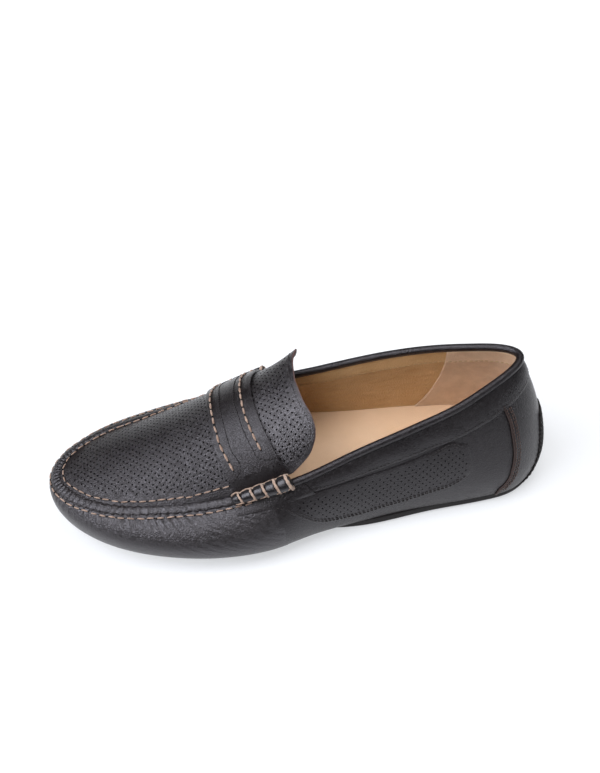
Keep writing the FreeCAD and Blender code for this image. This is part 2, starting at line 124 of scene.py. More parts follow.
FEATHER_Z = ((-137, -120, -95, -70, 140), (9, 6.5, 5, 4.7, 4.7))
feather = ring(-137, 139.5, (60, 58, 56, 54, 49.5, 42.5, 39.5, 40, 46, 55, 60),
               (56, 55.5, 54, 51, 47, 41.5, 39, 40, 46, 54, 61),
               FOOT_CENTRE, FEATHER_Z[0], FEATHER_Z[1], FEATHER_Z[1])
BELLY_Z = ((-146.5, -120, -80, -40, 0, 40, 100, 143.5), (23, 20, 17.5, 17, 18, 19, 19, 18))
belly = ring(-146.5, 143.5, (66, 68, 66.5, 63.5, 58.5, 48.5, 43.5, 43.7, 49.5, 58, 61),
             (61, 63.8, 63, 60, 54, 47, 42.5, 43.5, 49, 57, 63),
             FOOT_CENTRE, BELLY_Z[0], BELLY_Z[1], BELLY_Z[1])
TOP_TOE, TOP_HEEL = -141.5, 122.5
top = ring(TOP_TOE, TOP_HEEL, (50, 49.5, 44.8, 43, 41.3, 39.8, 35.7, 33.7, 33.8, 30.5, 28),
           (47.5, 47, 44.1, 43, 41.3, 40, 36.7, 34.6, 32.6, 29.5, 28),
           TOP_CENTRE,
           (-141.5, -120, -97, -75, -50, -30, -10, 7, 25, 45, 65, 84, 95, 112, 122.5),
           (30, 30.8, 31, 32.2, 36, 40.5, 45.7, 50, 55.2, 60.4, 65.6, 71, 74, 78, 80),
           (30, 31.5, 33, 35.8, 40, 44, 48.5, 53, 58, 63, 67.8, 71.9, 74.3, 78, 80))
ANGLE_STEP = .004
INSTEP_STEP = .02


def girths(angle):
    below = np.linalg.norm(belly(angle) - feather(angle), axis=-1) * 1.1
    above = np.linalg.norm(top(angle) - belly(angle), axis=-1) * 1.05
    return below, above


def wall_point(angle, rise):
    angle, rise = np.broadcast_arrays(np.asarray(angle, float), np.asarray(rise, float))
    low, wide, high = feather(angle), belly(angle), top(angle)
    below, above = girths(angle)
    widest = below / (below + above)
    turn = pi / 2 * np.clip(rise / widest, 0, 1)
    part = np.clip((rise - widest) / (1 - widest), 0, 1.3)
    roll = smooth((-141.5, -60, -20, 20, 122), (.75, .7, .45, .1, .05), high[..., 0])
    out = blend(part ** 1.6, 1 - np.cos(pi / 2 * part), roll)
    up = blend(part, np.sin(pi / 2 * part), roll)
    lower = np.stack([np.sin(turn), np.sin(turn), 1 - np.cos(turn)], -1)
    upper = np.stack([out, out, up], -1)
    return np.where((rise <= widest)[..., None], low + (wide - low) * lower,
                    wide + (high - wide) * upper)


def stand_off(point, along, across, proud):
    normal = np.cross(along, across)
    normal /= np.linalg.norm(normal, axis=-1, keepdims=True)
    return point + normal * np.asarray(proud)[..., None]


def wall(angle, rise, proud=0):
    """A point of the wall: rise is 0 at the sole's edge and 1 at the topline."""
    angle, rise, proud = np.broadcast_arrays(np.asarray(angle, float), rise, proud)
    along = wall_point(angle + ANGLE_STEP, rise) - wall_point(angle - ANGLE_STEP, rise)
    across = (wall_point(angle, np.minimum(rise + ANGLE_STEP, 1))
              - wall_point(angle, np.maximum(rise - ANGLE_STEP, 0)))
    return stand_off(wall_point(angle, rise), along, across, proud)


def rise_below(angle, distance):
    """The rise that lies a distance below the topline."""
    below, above = girths(angle)
    return 1 - distance * above / (below + above) / np.linalg.norm(top(angle) - belly(angle), axis=-1)


def rise_at(angle, height, proud):
    """The rise at which a layer of the wall reaches a height above the ground."""
    low, high = np.full(np.shape(angle), .01), np.full(np.shape(angle), .9)
    for _ in range(16):
        middle = (low + high) / 2
        under = wall(angle, middle, proud)[..., 2] < height
        low, high = np.where(under, middle, low), np.where(under, high, middle)
    return low


RIDGE = ((-141.5, -120, -97, -75, -49, -27, -5, 15), (30.5, 37.5, 44, 51.5, 64, 73.5, 81, 87))
ARCH = ((-141.5, -90, -50, -20, 15), (.95, .95, .8, .62, .55))


def angle_at(x):
    """The topline's angle, on the lateral side, at a given x."""
    return np.arccos(np.clip(1 - 2 * (np.asarray(x, float) - TOP_TOE) / (TOP_HEEL - TOP_TOE), -1, 1))


def half_width(x):
    angle = angle_at(x)
    return (top(-angle)[..., 1] - top(angle)[..., 1]) / 2


def middle_y(x):
    angle = angle_at(x)
    return (top(-angle)[..., 1] + top(angle)[..., 1]) / 2


def instep_point(x, across):
    x, across = np.broadcast_arrays(np.asarray(x, float), np.asarray(across, float))
    lateral, medial = top(angle_at(x)), top(-angle_at(x))
    middle = (lateral + medial) / 2
    crown = np.maximum(1 - across * across, 0) ** smooth(ARCH[0], ARCH[1], x)
    edge = middle[..., 2] + (medial[..., 2] - lateral[..., 2]) / 2 * across
    return np.stack([x, middle[..., 1] + (medial - lateral)[..., 1] / 2 * across,
                     edge + (smooth(RIDGE[0], RIDGE[1], x) - middle[..., 2]) * crown], -1)


def instep(x, across, proud=0):
    """A point of the arch over the foot: across is -1 lateral and 1 medial."""
    x, across, proud = np.broadcast_arrays(np.asarray(x, float), across, proud)
    along = instep_point(x + INSTEP_STEP, across) - instep_point(x - INSTEP_STEP, across)
    side = (instep_point(x, np.minimum(across + INSTEP_STEP, .999))
            - instep_point(x, np.maximum(across - INSTEP_STEP, -.999)))
    return stand_off(instep_point(x, across), along, side, proud)


# A flat pattern of the instep, as it is cut from a skin: "run" is along the foot and
# "girth" is measured over the arch from its middle, both in millimetres.
RUN_TO_X = .95
ARC_X = np.linspace(-141.4, 15, 158)
ARC_ACROSS = np.linspace(-1, 1, 161)
ARC_MIDDLE = len(ARC_ACROSS) // 2
ARCH_POINTS = instep_point(ARC_X[:, None], ARC_ACROSS[None, :])
ARCH_STEPS = np.linalg.norm(np.diff(ARCH_POINTS[..., 1:], axis=1), axis=-1)
ARC_GIRTH = np.concatenate([np.zeros((len(ARC_X), 1)), np.cumsum(ARCH_STEPS, axis=1)], axis=1)
ARC_GIRTH -= ARC_GIRTH[:, ARC_MIDDLE:ARC_MIDDLE + 1]


def between_columns(x, lookup):
    """Reads a table that has one row for each of ARC_X, between its two nearest rows."""
    place = np.clip((x - ARC_X[0]) / (ARC_X[1] - ARC_X[0]), 0, len(ARC_X) - 1.001)
    low = place.astype(int)
    near = np.array([lookup(k) for k in range(len(ARC_X))])
    index = np.arange(len(x))
    return blend(near[low, index], near[low + 1, index], place - low)


def girth_of(x, across):
    return between_columns(x, lambda k: np.interp(across, ARC_ACROSS, ARC_GIRTH[k]))


def across_of(x, girth):
    return between_columns(x, lambda k: np.interp(girth, ARC_GIRTH[k], ARC_ACROSS))


# ------------------------------------------------------------------ mesh helpers
SIDES = (("lateral", 1), ("medial", -1))


def deselect():
    bpy.ops.object.select_all(action="DESELECT")


def edit():
    bpy.ops.object.mode_set(mode="EDIT")
    bpy.ops.mesh.select_mode(type="FACE")
    bpy.ops.mesh.select_all(action="SELECT")


def leave_edit():
    bpy.ops.object.mode_set(mode="OBJECT")


def read_points(piece):
    points = np.empty(len(piece.data.vertices) * 3)
    piece.data.vertices.foreach_get("co", points)
    return points.reshape(-1, 3)


def write_points(piece, points):
    piece.data.vertices.foreach_set("co", np.ascontiguousarray(points, dtype=float).ravel())
    piece.data.update()


def named(name):
    """The newly added primitive, named and put at the origin with its place in its mesh."""
    piece = bpy.context.object
    bpy.ops.object.transform_apply(location=True, rotation=True, scale=True)
    piece.name = name
    piece.data.name = name
    return piece


def sheet(name, columns, rows, place):
    """A grid primitive moved on to the last: place(u, v) takes shares from 0 to 1."""
    deselect()
    bpy.ops.mesh.primitive_grid_add(x_subdivisions=columns, y_subdivisions=rows, size=1,
                                    location=(.5, .5, 0))
    piece = named(name)
    flat = read_points(piece)
    write_points(piece, in_metres(place(flat[:, 0], flat[:, 1])))
    return piece


def apply(piece, kind, **values):
    modifier = piece.modifiers.new(kind.lower(), kind)
    for key, value in values.items():
        setattr(modifier, key, value)
    deselect()
    piece.select_set(True)
    bpy.context.view_layer.objects.active = piece
    bpy.ops.object.modifier_apply(modifier=modifier.name)


def thicken(piece, thick, edge=.3):
    """Gives a sheet its thickness inwards and rounds its cut edges."""
    apply(piece, "SOLIDIFY", thickness=thick * MM, offset=-1)
    if edge:
        apply(piece, "BEVEL", width=edge * MM, segments=2, limit_method="ANGLE",
              angle_limit=radians(50), use_clamp_overlap=True)
    return piece


def soften(piece, angle=45):
    deselect()
    piece.select_set(True)
    bpy.context.view_layer.objects.active = piece
    bpy.ops.object.shade_smooth_by_angle(angle=radians(angle))


def tube(name, columns, sides, place):
    """A closed bar: place(u, v) goes once round it as v goes from 0 to 1."""
    piece = sheet(name, columns, sides, place)
    edit()
    bpy.ops.mesh.remove_doubles(threshold=1e-6)
    bpy.ops.mesh.select_all(action="DESELECT")
    bpy.ops.mesh.select_mode(type="EDGE")
    bpy.ops.mesh.select_non_manifold(extend=False)
    bpy.ops.mesh.fill_holes(sides=0)
    bpy.ops.mesh.select_all(action="SELECT")
    bpy.ops.mesh.normals_make_consistent(inside=False)
    leave_edit()
    return piece


def finish(piece, material, nodes=(), body=SHOE, smooth_angle=45):
    """Gives a piece its leather, the CAD nodes it stands for and its body."""
    if piece.data.materials:
        piece.data.materials[0] = material
    else:
        piece.data.materials.append(material)
    soften(piece, smooth_angle)
    if nodes:
        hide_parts(*nodes)
    if body:
        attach(piece, body)
    return piece


def unit(vectors):
    return vectors / np.linalg.norm(vectors, axis=-1, keepdims=True)


def bar_along(path, outward, wide, high, turns=0, lobes=0):
    """place(u, v) for tube(): an oval bar along path(u), wide across and high outward."""
    def place(u, v):
        centre = path(u)
        ahead = unit(path(np.minimum(u + .003, 1)) - path(np.maximum(u - .003, 0)))
        out = outward(u)
        out = unit(out - ahead * np.sum(out * ahead, axis=-1, keepdims=True))
        side = np.cross(ahead, out)
        around = 2 * pi * v
        ply = 1 + lobes * np.cos(2 * around - 2 * pi * turns * u)
        w = (wide(u) if callable(wide) else wide) * ply
        h = (high(u) if callable(high) else high) * ply
        return centre + side * (w * np.cos(around))[:, None] + out * (h * np.sin(around))[:, None]
    return place


# ------------------------------------------------------------------ shader groups
def node_group(name, inputs, outputs):
    group = bpy.data.node_groups.new(name, "ShaderNodeTree")
    for label, kind, default in inputs:
        socket = group.interface.new_socket(label, in_out="INPUT", socket_type=kind)
        socket.default_value = default
    for label, kind in outputs:
        group.interface.new_socket(label, in_out="OUTPUT", socket_type=kind)
    return group, group.nodes.new("NodeGroupInput"), group.nodes.new("NodeGroupOutput")


def add_node(tree, kind, values=(), settings=()):
    node = tree.nodes.new(kind)
    for key, value in dict(settings).items():
        setattr(node, key, value)
    for key, value in dict(values).items():
        node.inputs[key].default_value = value
    return node


def compute(tree, operation, first, second):
    node = add_node(tree, "ShaderNodeMath", settings={"operation": operation})
    for index, value in enumerate((first, second)):
        if isinstance(value, (int, float)):
            node.inputs[index].default_value = value
        else:
            tree.links.new(value, node.inputs[index])
    return node.outputs[0]


FLOAT, COLOUR = "NodeSocketFloat", "NodeSocketColor"


def make_grain():
    """Leather grain: fine pebbles broken by pores, with soft waves under them."""
    group, given, out = node_group("leather_grain", (("Pebble size", FLOAT, 900), ("Wave size", FLOAT, 60),
                                                     ("Wave share", FLOAT, .5)), (("Height", FLOAT),
                                                                                 ("Pores", FLOAT)))
    links = group.links
    coordinates = add_node(group, "ShaderNodeTexCoord")
    warp = add_node(group, "ShaderNodeTexNoise", {"Scale": 350, "Detail": 2})
    bent = add_node(group, "ShaderNodeMix", {"Factor": .0018}, {"data_type": "VECTOR"})
    pebbles = add_node(group, "ShaderNodeTexVoronoi", settings={"feature": "DISTANCE_TO_EDGE"})
    pores = add_node(group, "ShaderNodeTexNoise", {"Detail": 3, "Roughness": .6})
    waves = add_node(group, "ShaderNodeTexNoise", {"Detail": 4, "Roughness": .55})
    links.new(coordinates.outputs["Object"], warp.inputs["Vector"])
    links.new(coordinates.outputs["Object"], bent.inputs[4])
    links.new(warp.outputs["Color"], bent.inputs[5])
    for texture, size in ((pebbles, "Pebble size"), (pores, "Pebble size"), (waves, "Wave size")):
        links.new(given.outputs[size], texture.inputs["Scale"])
        links.new(bent.outputs[1] if texture is pebbles else coordinates.outputs["Object"],
                  texture.inputs["Vector"])
    lifted = compute(group, "MULTIPLY", compute(group, "MINIMUM", pebbles.outputs["Distance"], .28), 2.4)
    mixed = compute(group, "ADD", lifted, compute(group, "MULTIPLY", pores.outputs["Fac"], .5))
    total = compute(group, "ADD", mixed, compute(group, "MULTIPLY", waves.outputs["Fac"],
                                          given.outputs["Wave share"]))
    links.new(total, out.inputs["Height"])
    links.new(pores.outputs["Fac"], out.inputs["Pores"])
    return group


def make_tone():
    """A colour that drifts between two tones, darker or paler in broad soft patches."""
    group, given, out = node_group("tone_drift", (("First", COLOUR, (1, 1, 1, 1)),
                                                  ("Second", COLOUR, (0, 0, 0, 1)),
                                                  ("Patch size", FLOAT, 25)), (("Color", COLOUR),
                                                                               ("Mask", FLOAT)))
    links = group.links
    coordinates = add_node(group, "ShaderNodeTexCoord")
    patches = add_node(group, "ShaderNodeTexNoise", {"Detail": 5, "Roughness": .6})
    steps = add_node(group, "ShaderNodeMapRange", {"From Min": .35, "From Max": .65})
    mixed = add_node(group, "ShaderNodeMix", settings={"data_type": "RGBA"})
    links.new(coordinates.outputs["Object"], patches.inputs["Vector"])
    links.new(given.outputs["Patch size"], patches.inputs["Scale"])
    links.new(patches.outputs["Fac"], steps.inputs["Value"])
    links.new(steps.outputs["Result"], mixed.inputs[0])
    links.new(given.outputs["First"], mixed.inputs[6])
    links.new(given.outputs["Second"], mixed.inputs[7])
    links.new(mixed.outputs[2], out.inputs["Color"])
    links.new(steps.outputs["Result"], out.inputs["Mask"])
    return group


def make_wear():
    """Edges that hands and feet rub: convex edges turn a little paler."""
    group, given, out = node_group("edge_wear", (("Color", COLOUR, (0, 0, 0, 1)),
                                                 ("Rubbed", COLOUR, (1, 1, 1, 1)),
                                                 ("Amount", FLOAT, .4)), (("Color", COLOUR),
                                                                          ("Mask", FLOAT)))
    links = group.links
    shape = add_node(group, "ShaderNodeNewGeometry")
    edge = add_node(group, "ShaderNodeMapRange", {"From Min": .52, "From Max": .62})
    mixed = add_node(group, "ShaderNodeMix", settings={"data_type": "RGBA"})
    links.new(shape.outputs["Pointiness"], edge.inputs["Value"])
    worn = compute(group, "MULTIPLY", edge.outputs["Result"], given.outputs["Amount"])
    links.new(worn, mixed.inputs[0])
    links.new(given.outputs["Color"], mixed.inputs[6])
    links.new(given.outputs["Rubbed"], mixed.inputs[7])
    links.new(mixed.outputs[2], out.inputs["Color"])
    links.new(worn, out.inputs["Mask"])
    return group


grain_group, tone_group, wear_group = make_grain(), make_tone(), make_wear()


def place_group(tree, group, values):
    node = tree.nodes.new("ShaderNodeGroup")
    node.node_tree = group
    for key, value in values.items():
        node.inputs[key].default_value = value
    return node


def skin(name, first, second, rubbed, rough, pebble, wave, wave_share, bump, wear=.35,
         patch=22, specular=.5, tint=(1, 1, 1, 1), coat=0, sheen=0, rough_change=.12):
    """Leather, suede, thread, foam and board: one layout with each finish's own values."""
    material = bpy.data.materials.new(name)
    material.use_nodes = True
    tree = material.node_tree
    links = tree.links
    shader = tree.nodes["Principled BSDF"]
    grain = place_group(tree, grain_group, {"Pebble size": pebble, "Wave size": wave,
                                            "Wave share": wave_share})
    tone = place_group(tree, tone_group, {"First": (*first, 1), "Second": (*second, 1),
                                          "Patch size": patch})
    worn = place_group(tree, wear_group, {"Rubbed": (*rubbed, 1), "Amount": wear})
    links.new(tone.outputs["Color"], worn.inputs["Color"])
    links.new(worn.outputs["Color"], shader.inputs["Base Color"])
    change = compute(tree, "MULTIPLY", grain.outputs["Pores"], rough_change)
    drift = compute(tree, "MULTIPLY", tone.outputs["Mask"], rough_change / 2)
    links.new(compute(tree, "ADD", compute(tree, "ADD", change, drift), rough - rough_change * .75),
              shader.inputs["Roughness"])
    relief = add_node(tree, "ShaderNodeBump", {"Strength": 1, "Distance": bump * MM})
    links.new(grain.outputs["Height"], relief.inputs["Height"])
    links.new(relief.outputs["Normal"], shader.inputs["Normal"])
    shader.inputs["Specular IOR Level"].default_value = specular
    shader.inputs["Specular Tint"].default_value = tint
    shader.inputs["Coat Weight"].default_value = coat
    shader.inputs["Coat Roughness"].default_value = .3
    shader.inputs["Sheen Weight"].default_value = sheen
    shader.inputs["Sheen Roughness"].default_value = .5
    return material


COOL = (.97, .935, 1, 1)
smooth_leather = skin("smooth_leather", (.0078, .006, .0064), (.0108, .0086, .0088), (.034, .03, .032), .31,
                      900, 120, .5, .15, specular=.5, tint=COOL, coat=.06)
apron_leather = skin("apron_leather", (.0078, .006, .0064), (.0112, .0088, .0088), (.036, .033, .036), .32,
                     950, 160, .5, .2, specular=.65, tint=COOL)
vamp_leather = skin("vamp_leather", (.0078, .006, .0064), (.0108, .0086, .0086), (.036, .033, .035), .35,
                    800, 90, 1, .18, specular=.8, tint=COOL)
tongue_leather = skin("tongue_leather", (.0078, .006, .0064), (.0112, .0088, .0088), (.036, .033, .036), .34,
                      950, 160, .5, .18, specular=.95, tint=COOL)
roll_leather = skin("roll_leather", (.007, .0065, .0072), (.0105, .0095, .0105), (.045, .04, .045), .25,
                    1100, 140, .8, .07, tint=COOL, coat=.35)
# Near-black painted shade: stands for the dark inside punched holes and needle holes, where little light
# gets in.
hole_painted_shade = skin("hole_painted_shade", (.002, .002, .002), (.003, .003, .003), (.004, .004, .004), .9,
                 900, 80, .3, .03, wear=0, specular=.1)
edge_leather = skin("edge_leather", (.085, .043, .043), (.12, .062, .058), (.2, .13, .11), .6,
                    1500, 200, .5, .06, wear=.6)
strip_leather = skin("strip_leather", (.02, .0095, .008), (.034, .016, .0135), (.07, .038, .03), .55,
                     1300, 200, .6, .1, wear=.6)
tan_thread = skin("tan_thread", (.5, .345, .26), (.33, .205, .145), (.66, .52, .42), .75,
                  5200, 900, .5, .12, wear=.5, patch=400, sheen=.3)
dark_thread = skin("dark_thread", (.024, .02, .021), (.04, .033, .033), (.1, .09, .09), .6,
                   5200, 900, .5, .1, wear=.5, patch=400)
brown_thread = skin("brown_thread", (.1, .06, .048), (.15, .09, .07), (.26, .18, .14), .7,
                    5200, 900, .5, .1, wear=.5, patch=400)
lining_thread = skin("lining_thread", (.55, .38, .2), (.46, .3, .15), (.7, .52, .32), .75,
                     5200, 900, .5, .1, patch=400)
tan_lining = skin("tan_lining", (.57, .36, .175), (.49, .3, .135), (.78, .57, .35), .5,
                  700, 140, 1.6, .22, wear=.3, patch=45)
heel_suede = skin("heel_suede", (.78, .54, .35), (.66, .44, .27), (.93, .75, .57), .92,
                  2600, 260, 1.2, .25, wear=.3, patch=120, specular=.2, sheen=.35)
sock_leather = skin("sock_leather", (.88, .62, .41), (.8, .55, .345), (.9, .68, .48), .5,
                    1000, 200, .9, .1, wear=.25, patch=30)
sole_rubber = skin("sole_rubber", (.009, .0072, .0075), (.013, .0105, .0108), (.035, .03, .031), .6,
                   1600, 300, .5, .07, wear=.4, patch=60, specular=.25)
fibre_board = skin("fibre_board", (.25, .17, .1), (.19, .12, .07), (.3, .22, .15), .85,
                   1800, 500, .8, .2, patch=150)
soft_foam = skin("soft_foam", (.5, .45, .34), (.42, .37, .27), (.6, .55, .45), .95,
                 3000, 800, .8, .3, patch=90)


# ------------------------------------------------------------------ stitches
def thread_template():
    """One short bar of two-ply thread, one unit long each way, dipped at its ends."""
    deselect()
    bpy.ops.mesh.primitive_uv_sphere_add(segments=8, ring_count=8, radius=1, location=(0, 0, 0),
                                         rotation=(0, pi / 2, 0))
    piece = named("thread_template")
    points = read_points(piece)
    along = points[:, 0].copy()
    around = np.arctan2(points[:, 2], points[:, 1])
    plump = np.maximum(1 - np.abs(along) ** 3.2, 0) ** .5
    ply = plump * (1 + .17 * np.cos(2 * around - 5 * along))
    points[:, 1] = ply * np.cos(around)
    points[:, 2] = ply * np.sin(around)
    faces = [tuple(face.vertices) for face in piece.data.polygons]
    bpy.data.objects.remove(piece)
    return points, faces


THREAD_POINTS, THREAD_FACES = thread_template()


def repeated(name, points, faces):
    """One piece of many copies: points holds each copy's own corners, faces is the template's."""
    count, size = points.shape[:2]
    mesh = bpy.data.meshes.new(name)
    mesh.from_pydata(in_metres(points.reshape(-1, 3)).tolist(), [],
                     [tuple(k * size + corner for corner in face) for k in range(count) for face in faces])
    piece = bpy.data.objects.new(name, mesh)
    bpy.context.scene.collection.objects.link(piece)
    return piece


def copies(name, starts, ends, normals, radius, bow):
    """Copies of the thread bar from starts to ends, bowed along normals, as one piece."""
    starts, ends, normals = (np.asarray(a, float) for a in (starts, ends, normals))
    radius = np.broadcast_to(radius, len(starts))
    ahead = ends - starts
    half = ahead / 2
    out = unit(normals - unit(ahead) * np.sum(normals * unit(ahead), axis=-1, keepdims=True))
    side = np.cross(unit(ahead), out)
    shape = THREAD_POINTS
    arch = bow * (1 - shape[:, 0] ** 2)
    points = ((starts + half)[:, None] + half[:, None] * shape[None, :, :1]
              + side[:, None] * (radius[:, None] * shape[None, :, 1])[..., None]
              + out[:, None] * (radius[:, None] * shape[None, :, 2] + arch[None])[..., None])
    return repeated(name, points, THREAD_FACES)


def along_path(path, pitch, length, phase=.5):
    """Even stitches along path(share, proud): their starts, ends and normals."""
    dense = np.linspace(0, 1, 700)
    low, high = path(dense, np.zeros(700)), path(dense, np.ones(700))
    run = np.concatenate([[0], np.cumsum(np.linalg.norm(np.diff(low, axis=0), axis=1))])
    count = max(int(round(run[-1] / pitch)), 1)
    middles = (np.arange(count) + phase) * run[-1] / count

    def at(distance, table):
        return np.stack([np.interp(distance, run, table[:, k]) for k in range(3)], -1)
    starts, ends = at(middles - length / 2, low), at(middles + length / 2, low)
    return starts, ends, unit(at(middles, high) - at(middles, low))


def sewn(name, paths, pitch, length, radius, lift, bow, material, nodes=(), body=SHOE,
         uneven=.04):
    """Rows of stitches, all one piece. A little unevenness keeps them hand-made."""
    starts, ends, normals = (np.concatenate(parts) for parts in
                             zip(*(along_path(path, pitch, length) for path in paths)))
    wander = chance.normal(0, uneven, (len(starts), 3))
    starts = starts + normals * lift + wander * length
    ends = ends + normals * lift + chance.normal(0, uneven, (len(starts), 3)) * length
    piece = copies(name, starts, ends, normals, radius, bow)
    return finish(piece, material, nodes, body, smooth_angle=60), (starts, ends, normals)


def needle_hole_shade(name, rows, radius, lift=0):
    """A near-black bar at each end of the stitches of a row: painted shade where the needle goes through."""
    starts, ends, normals = rows
    centres = np.concatenate([starts, ends])
    out = np.concatenate([normals, normals])
    ahead = unit(np.concatenate([ends - starts, ends - starts])) * radius
    centres = centres + out * lift
    piece = copies(name, centres - ahead, centres + ahead, out, radius * .8, 0)
    return finish(piece, hole_painted_shade)


# ------------------------------------------------------------------ perforated sheets
def nearest_on(outline, points):
    """The nearest point of a closed outline to each point, and its distance."""
    start = outline
    span = np.roll(outline, -1, axis=0) - outline
    reach = np.maximum(np.sum(span * span, axis=1), 1e-9)
    best, place = np.full(len(points), 1e9), np.zeros_like(points)
    for k in range(len(start)):
        share = np.clip(((points - start[k]) @ span[k]) / reach[k], 0, 1)
        near = start[k] + share[:, None] * span[k]
        distance = np.linalg.norm(points - near, axis=1)
        closer = distance < best
        best[closer], place[closer] = distance[closer], near[closer]
    return place, best


def within(outline, points):
    """True for the points inside a closed outline."""
    inside = np.zeros(len(points), bool)
    ahead = np.roll(outline, -1, axis=0)
    for (x0, y0), (x1, y1) in zip(outline, ahead):
        crosses = (y0 > points[:, 1]) != (y1 > points[:, 1])
        with np.errstate(divide="ignore", invalid="ignore"):
            at = x0 + (points[:, 1] - y0) * (x1 - x0) / (y1 - y0)
        inside ^= crosses & (points[:, 0] < at)
    return inside


def perforated(name, outline, cell, hole, margin, thick, place, cut_edge):
    """A cut pattern with staggered punched holes, then laid on the last by place()."""
    low, high = outline.min(axis=0) - cell, outline.max(axis=0) + cell
    columns, rows = (np.ceil((high - low) / cell)).astype(int)
    deselect()
    bpy.ops.mesh.primitive_grid_add(x_subdivisions=int(columns), y_subdivisions=int(rows), size=1,
                                    location=(.5, .5, 0))
    piece = named(name)
    flat = read_points(piece)
    flat[:, 0] = low[0] + flat[:, 0] * columns * cell
    flat[:, 1] = low[1] + flat[:, 1] * rows * cell
    write_points(piece, flat)
    edit()
    work = bmesh.from_edit_mesh(piece.data)
    centres = np.array([face.calc_center_median()[:2] for face in work.faces])
    keep = within(outline, centres)
    for face, kept in zip(work.faces, keep):
        face.select_set(not kept)
    bmesh.update_edit_mesh(piece.data)
    bpy.ops.mesh.delete(type="FACE")
    bpy.ops.mesh.select_all(action="SELECT")
    work = bmesh.from_edit_mesh(piece.data)
    rim = [corner for corner in work.verts if corner.is_boundary]
    snapped, _ = nearest_on(outline, np.array([corner.co[:2] for corner in rim]))
    for corner, (x, y) in zip(rim, snapped):
        corner.co.x, corner.co.y = x, y
    bmesh.update_edit_mesh(piece.data)
    bpy.ops.mesh.extrude_region_move(TRANSFORM_OT_translate={"value": (0, 0, -thick)})
    bpy.ops.mesh.select_all(action="SELECT")
    bpy.ops.mesh.normals_make_consistent(inside=False)
    bpy.ops.mesh.select_mode(type="EDGE")
    bpy.ops.mesh.select_all(action="DESELECT")
    work = bmesh.from_edit_mesh(piece.data)
    for side in work.edges:
        faces = [abs(face.normal.z) for face in side.link_faces]
        side.select_set(side.verts[0].co.z + side.verts[1].co.z > -thick * .1 and min(faces) < .5)
    bmesh.update_edit_mesh(piece.data)
    bpy.ops.mesh.bevel(offset=thick * .35, segments=2, affect="EDGES", clamp_overlap=False)
    bpy.ops.mesh.select_mode(type="FACE")
    work = bmesh.from_edit_mesh(piece.data)
    centres = np.array([face.calc_center_median() for face in work.faces])
    index = np.floor((centres[:, :2] - low) / cell).astype(int)
    chosen = (centres[:, 2] > -thick * .01) & (index.sum(axis=1) % 2 == 0)
    _, distance = nearest_on(outline, centres[:, :2])
    chosen &= distance > margin
    for face, picked in zip(work.faces, chosen):
        face.select_set(bool(picked))
    bmesh.update_edit_mesh(piece.data)
    bpy.ops.mesh.inset(thickness=(cell - hole) / 2, use_individual=True)
    bpy.ops.mesh.bevel(offset=hole * .293, affect="VERTICES", segments=1, clamp_overlap=False)
    bpy.ops.mesh.select_mode(type="FACE")
    bpy.ops.mesh.select_face_by_sides(number=8, type="EQUAL", extend=False)
    bpy.ops.mesh.inset(thickness=hole * .06, depth=-thick * .6, use_individual=True)
    bpy.ops.mesh.select_more()
    # The pits' floors and walls take the near-black material: painted shade for the inside of each hole.
    piece.data.materials.append(None)
    piece.data.materials.append(hole_painted_shade)
    piece.active_material_index = 1
    bpy.ops.object.material_slot_assign()
    leave_edit()
    piece.data.materials.append(cut_edge)
    for face in piece.data.polygons:
        if face.material_index == 0 and abs(face.normal.z) < .97:
            face.material_index = 2
    flat = read_points(piece)
    write_points(piece, in_metres(place(flat[:, 0], flat[:, 1], flat[:, 2])))
    return piece


def finish_perforated(piece, material, nodes, body=SHOE):
    return finish(piece, material, nodes, body, 40)


# ------------------------------------------------------------------ where the seams run
STRAP_EDGE_AT = (0, .3, .56, .74, .875, .96)
STRAP_FRONT_X = (-52.5, -52.8, -51.8, -49.4, -46.6, -44.6)
STRAP_REAR_X = (-28.7, -27.5, -24.9, -22, -18.8, -15.2)
VAMP_END = 1.44
QUARTER_START = 1.425
COLLAR_START = 1.53
SEAM_RISES = (.124, .178, .286, .41, .56, .707, .81)
SEAM_ANGLES = (2.443, 2.481, 2.51, 2.538, 2.559, 2.577, 2.577)


def strap_front(across):
    return smooth(STRAP_EDGE_AT, STRAP_FRONT_X, np.abs(across))


def strap_rear(across):
    return smooth(STRAP_EDGE_AT, STRAP_REAR_X, np.abs(across))


def counter_seam(rise):
    return smooth(SEAM_RISES, SEAM_ANGLES, rise)


def collar_rise(angle):
    """The collar band's lower edge."""
    round_to = np.where(angle <= pi, angle, 2 * pi - angle)
    below = smooth((COLLAR_START, 1.8, 2.1, 2.6, pi), (8.9, 13.2, 15, 15.4, 12), round_to)
    return rise_below(angle, below)


# ------------------------------------------------------------------ the sole
def sole_edge(angle):
    """The rubber sole's outline: proud of the upper from waist to heel, set in in front."""
    edge = feather(angle)
    x = edge[:, 0]
    inset = smooth((-137, -60, -10, 20, 80, 140), (9, 9, 6, -1, -1.3, -1.5), x)
    away = np.stack([np.where(np.abs(x) < 60, 0, x - np.sign(x) * 60), edge[:, 1]], -1)
    away /= np.maximum(np.linalg.norm(away, axis=1, keepdims=True), 1e-6)
    return edge[:, :2] - away * inset[:, None]


SOLE_BOTTOM, SOLE_TOP = 1.4, 6.2


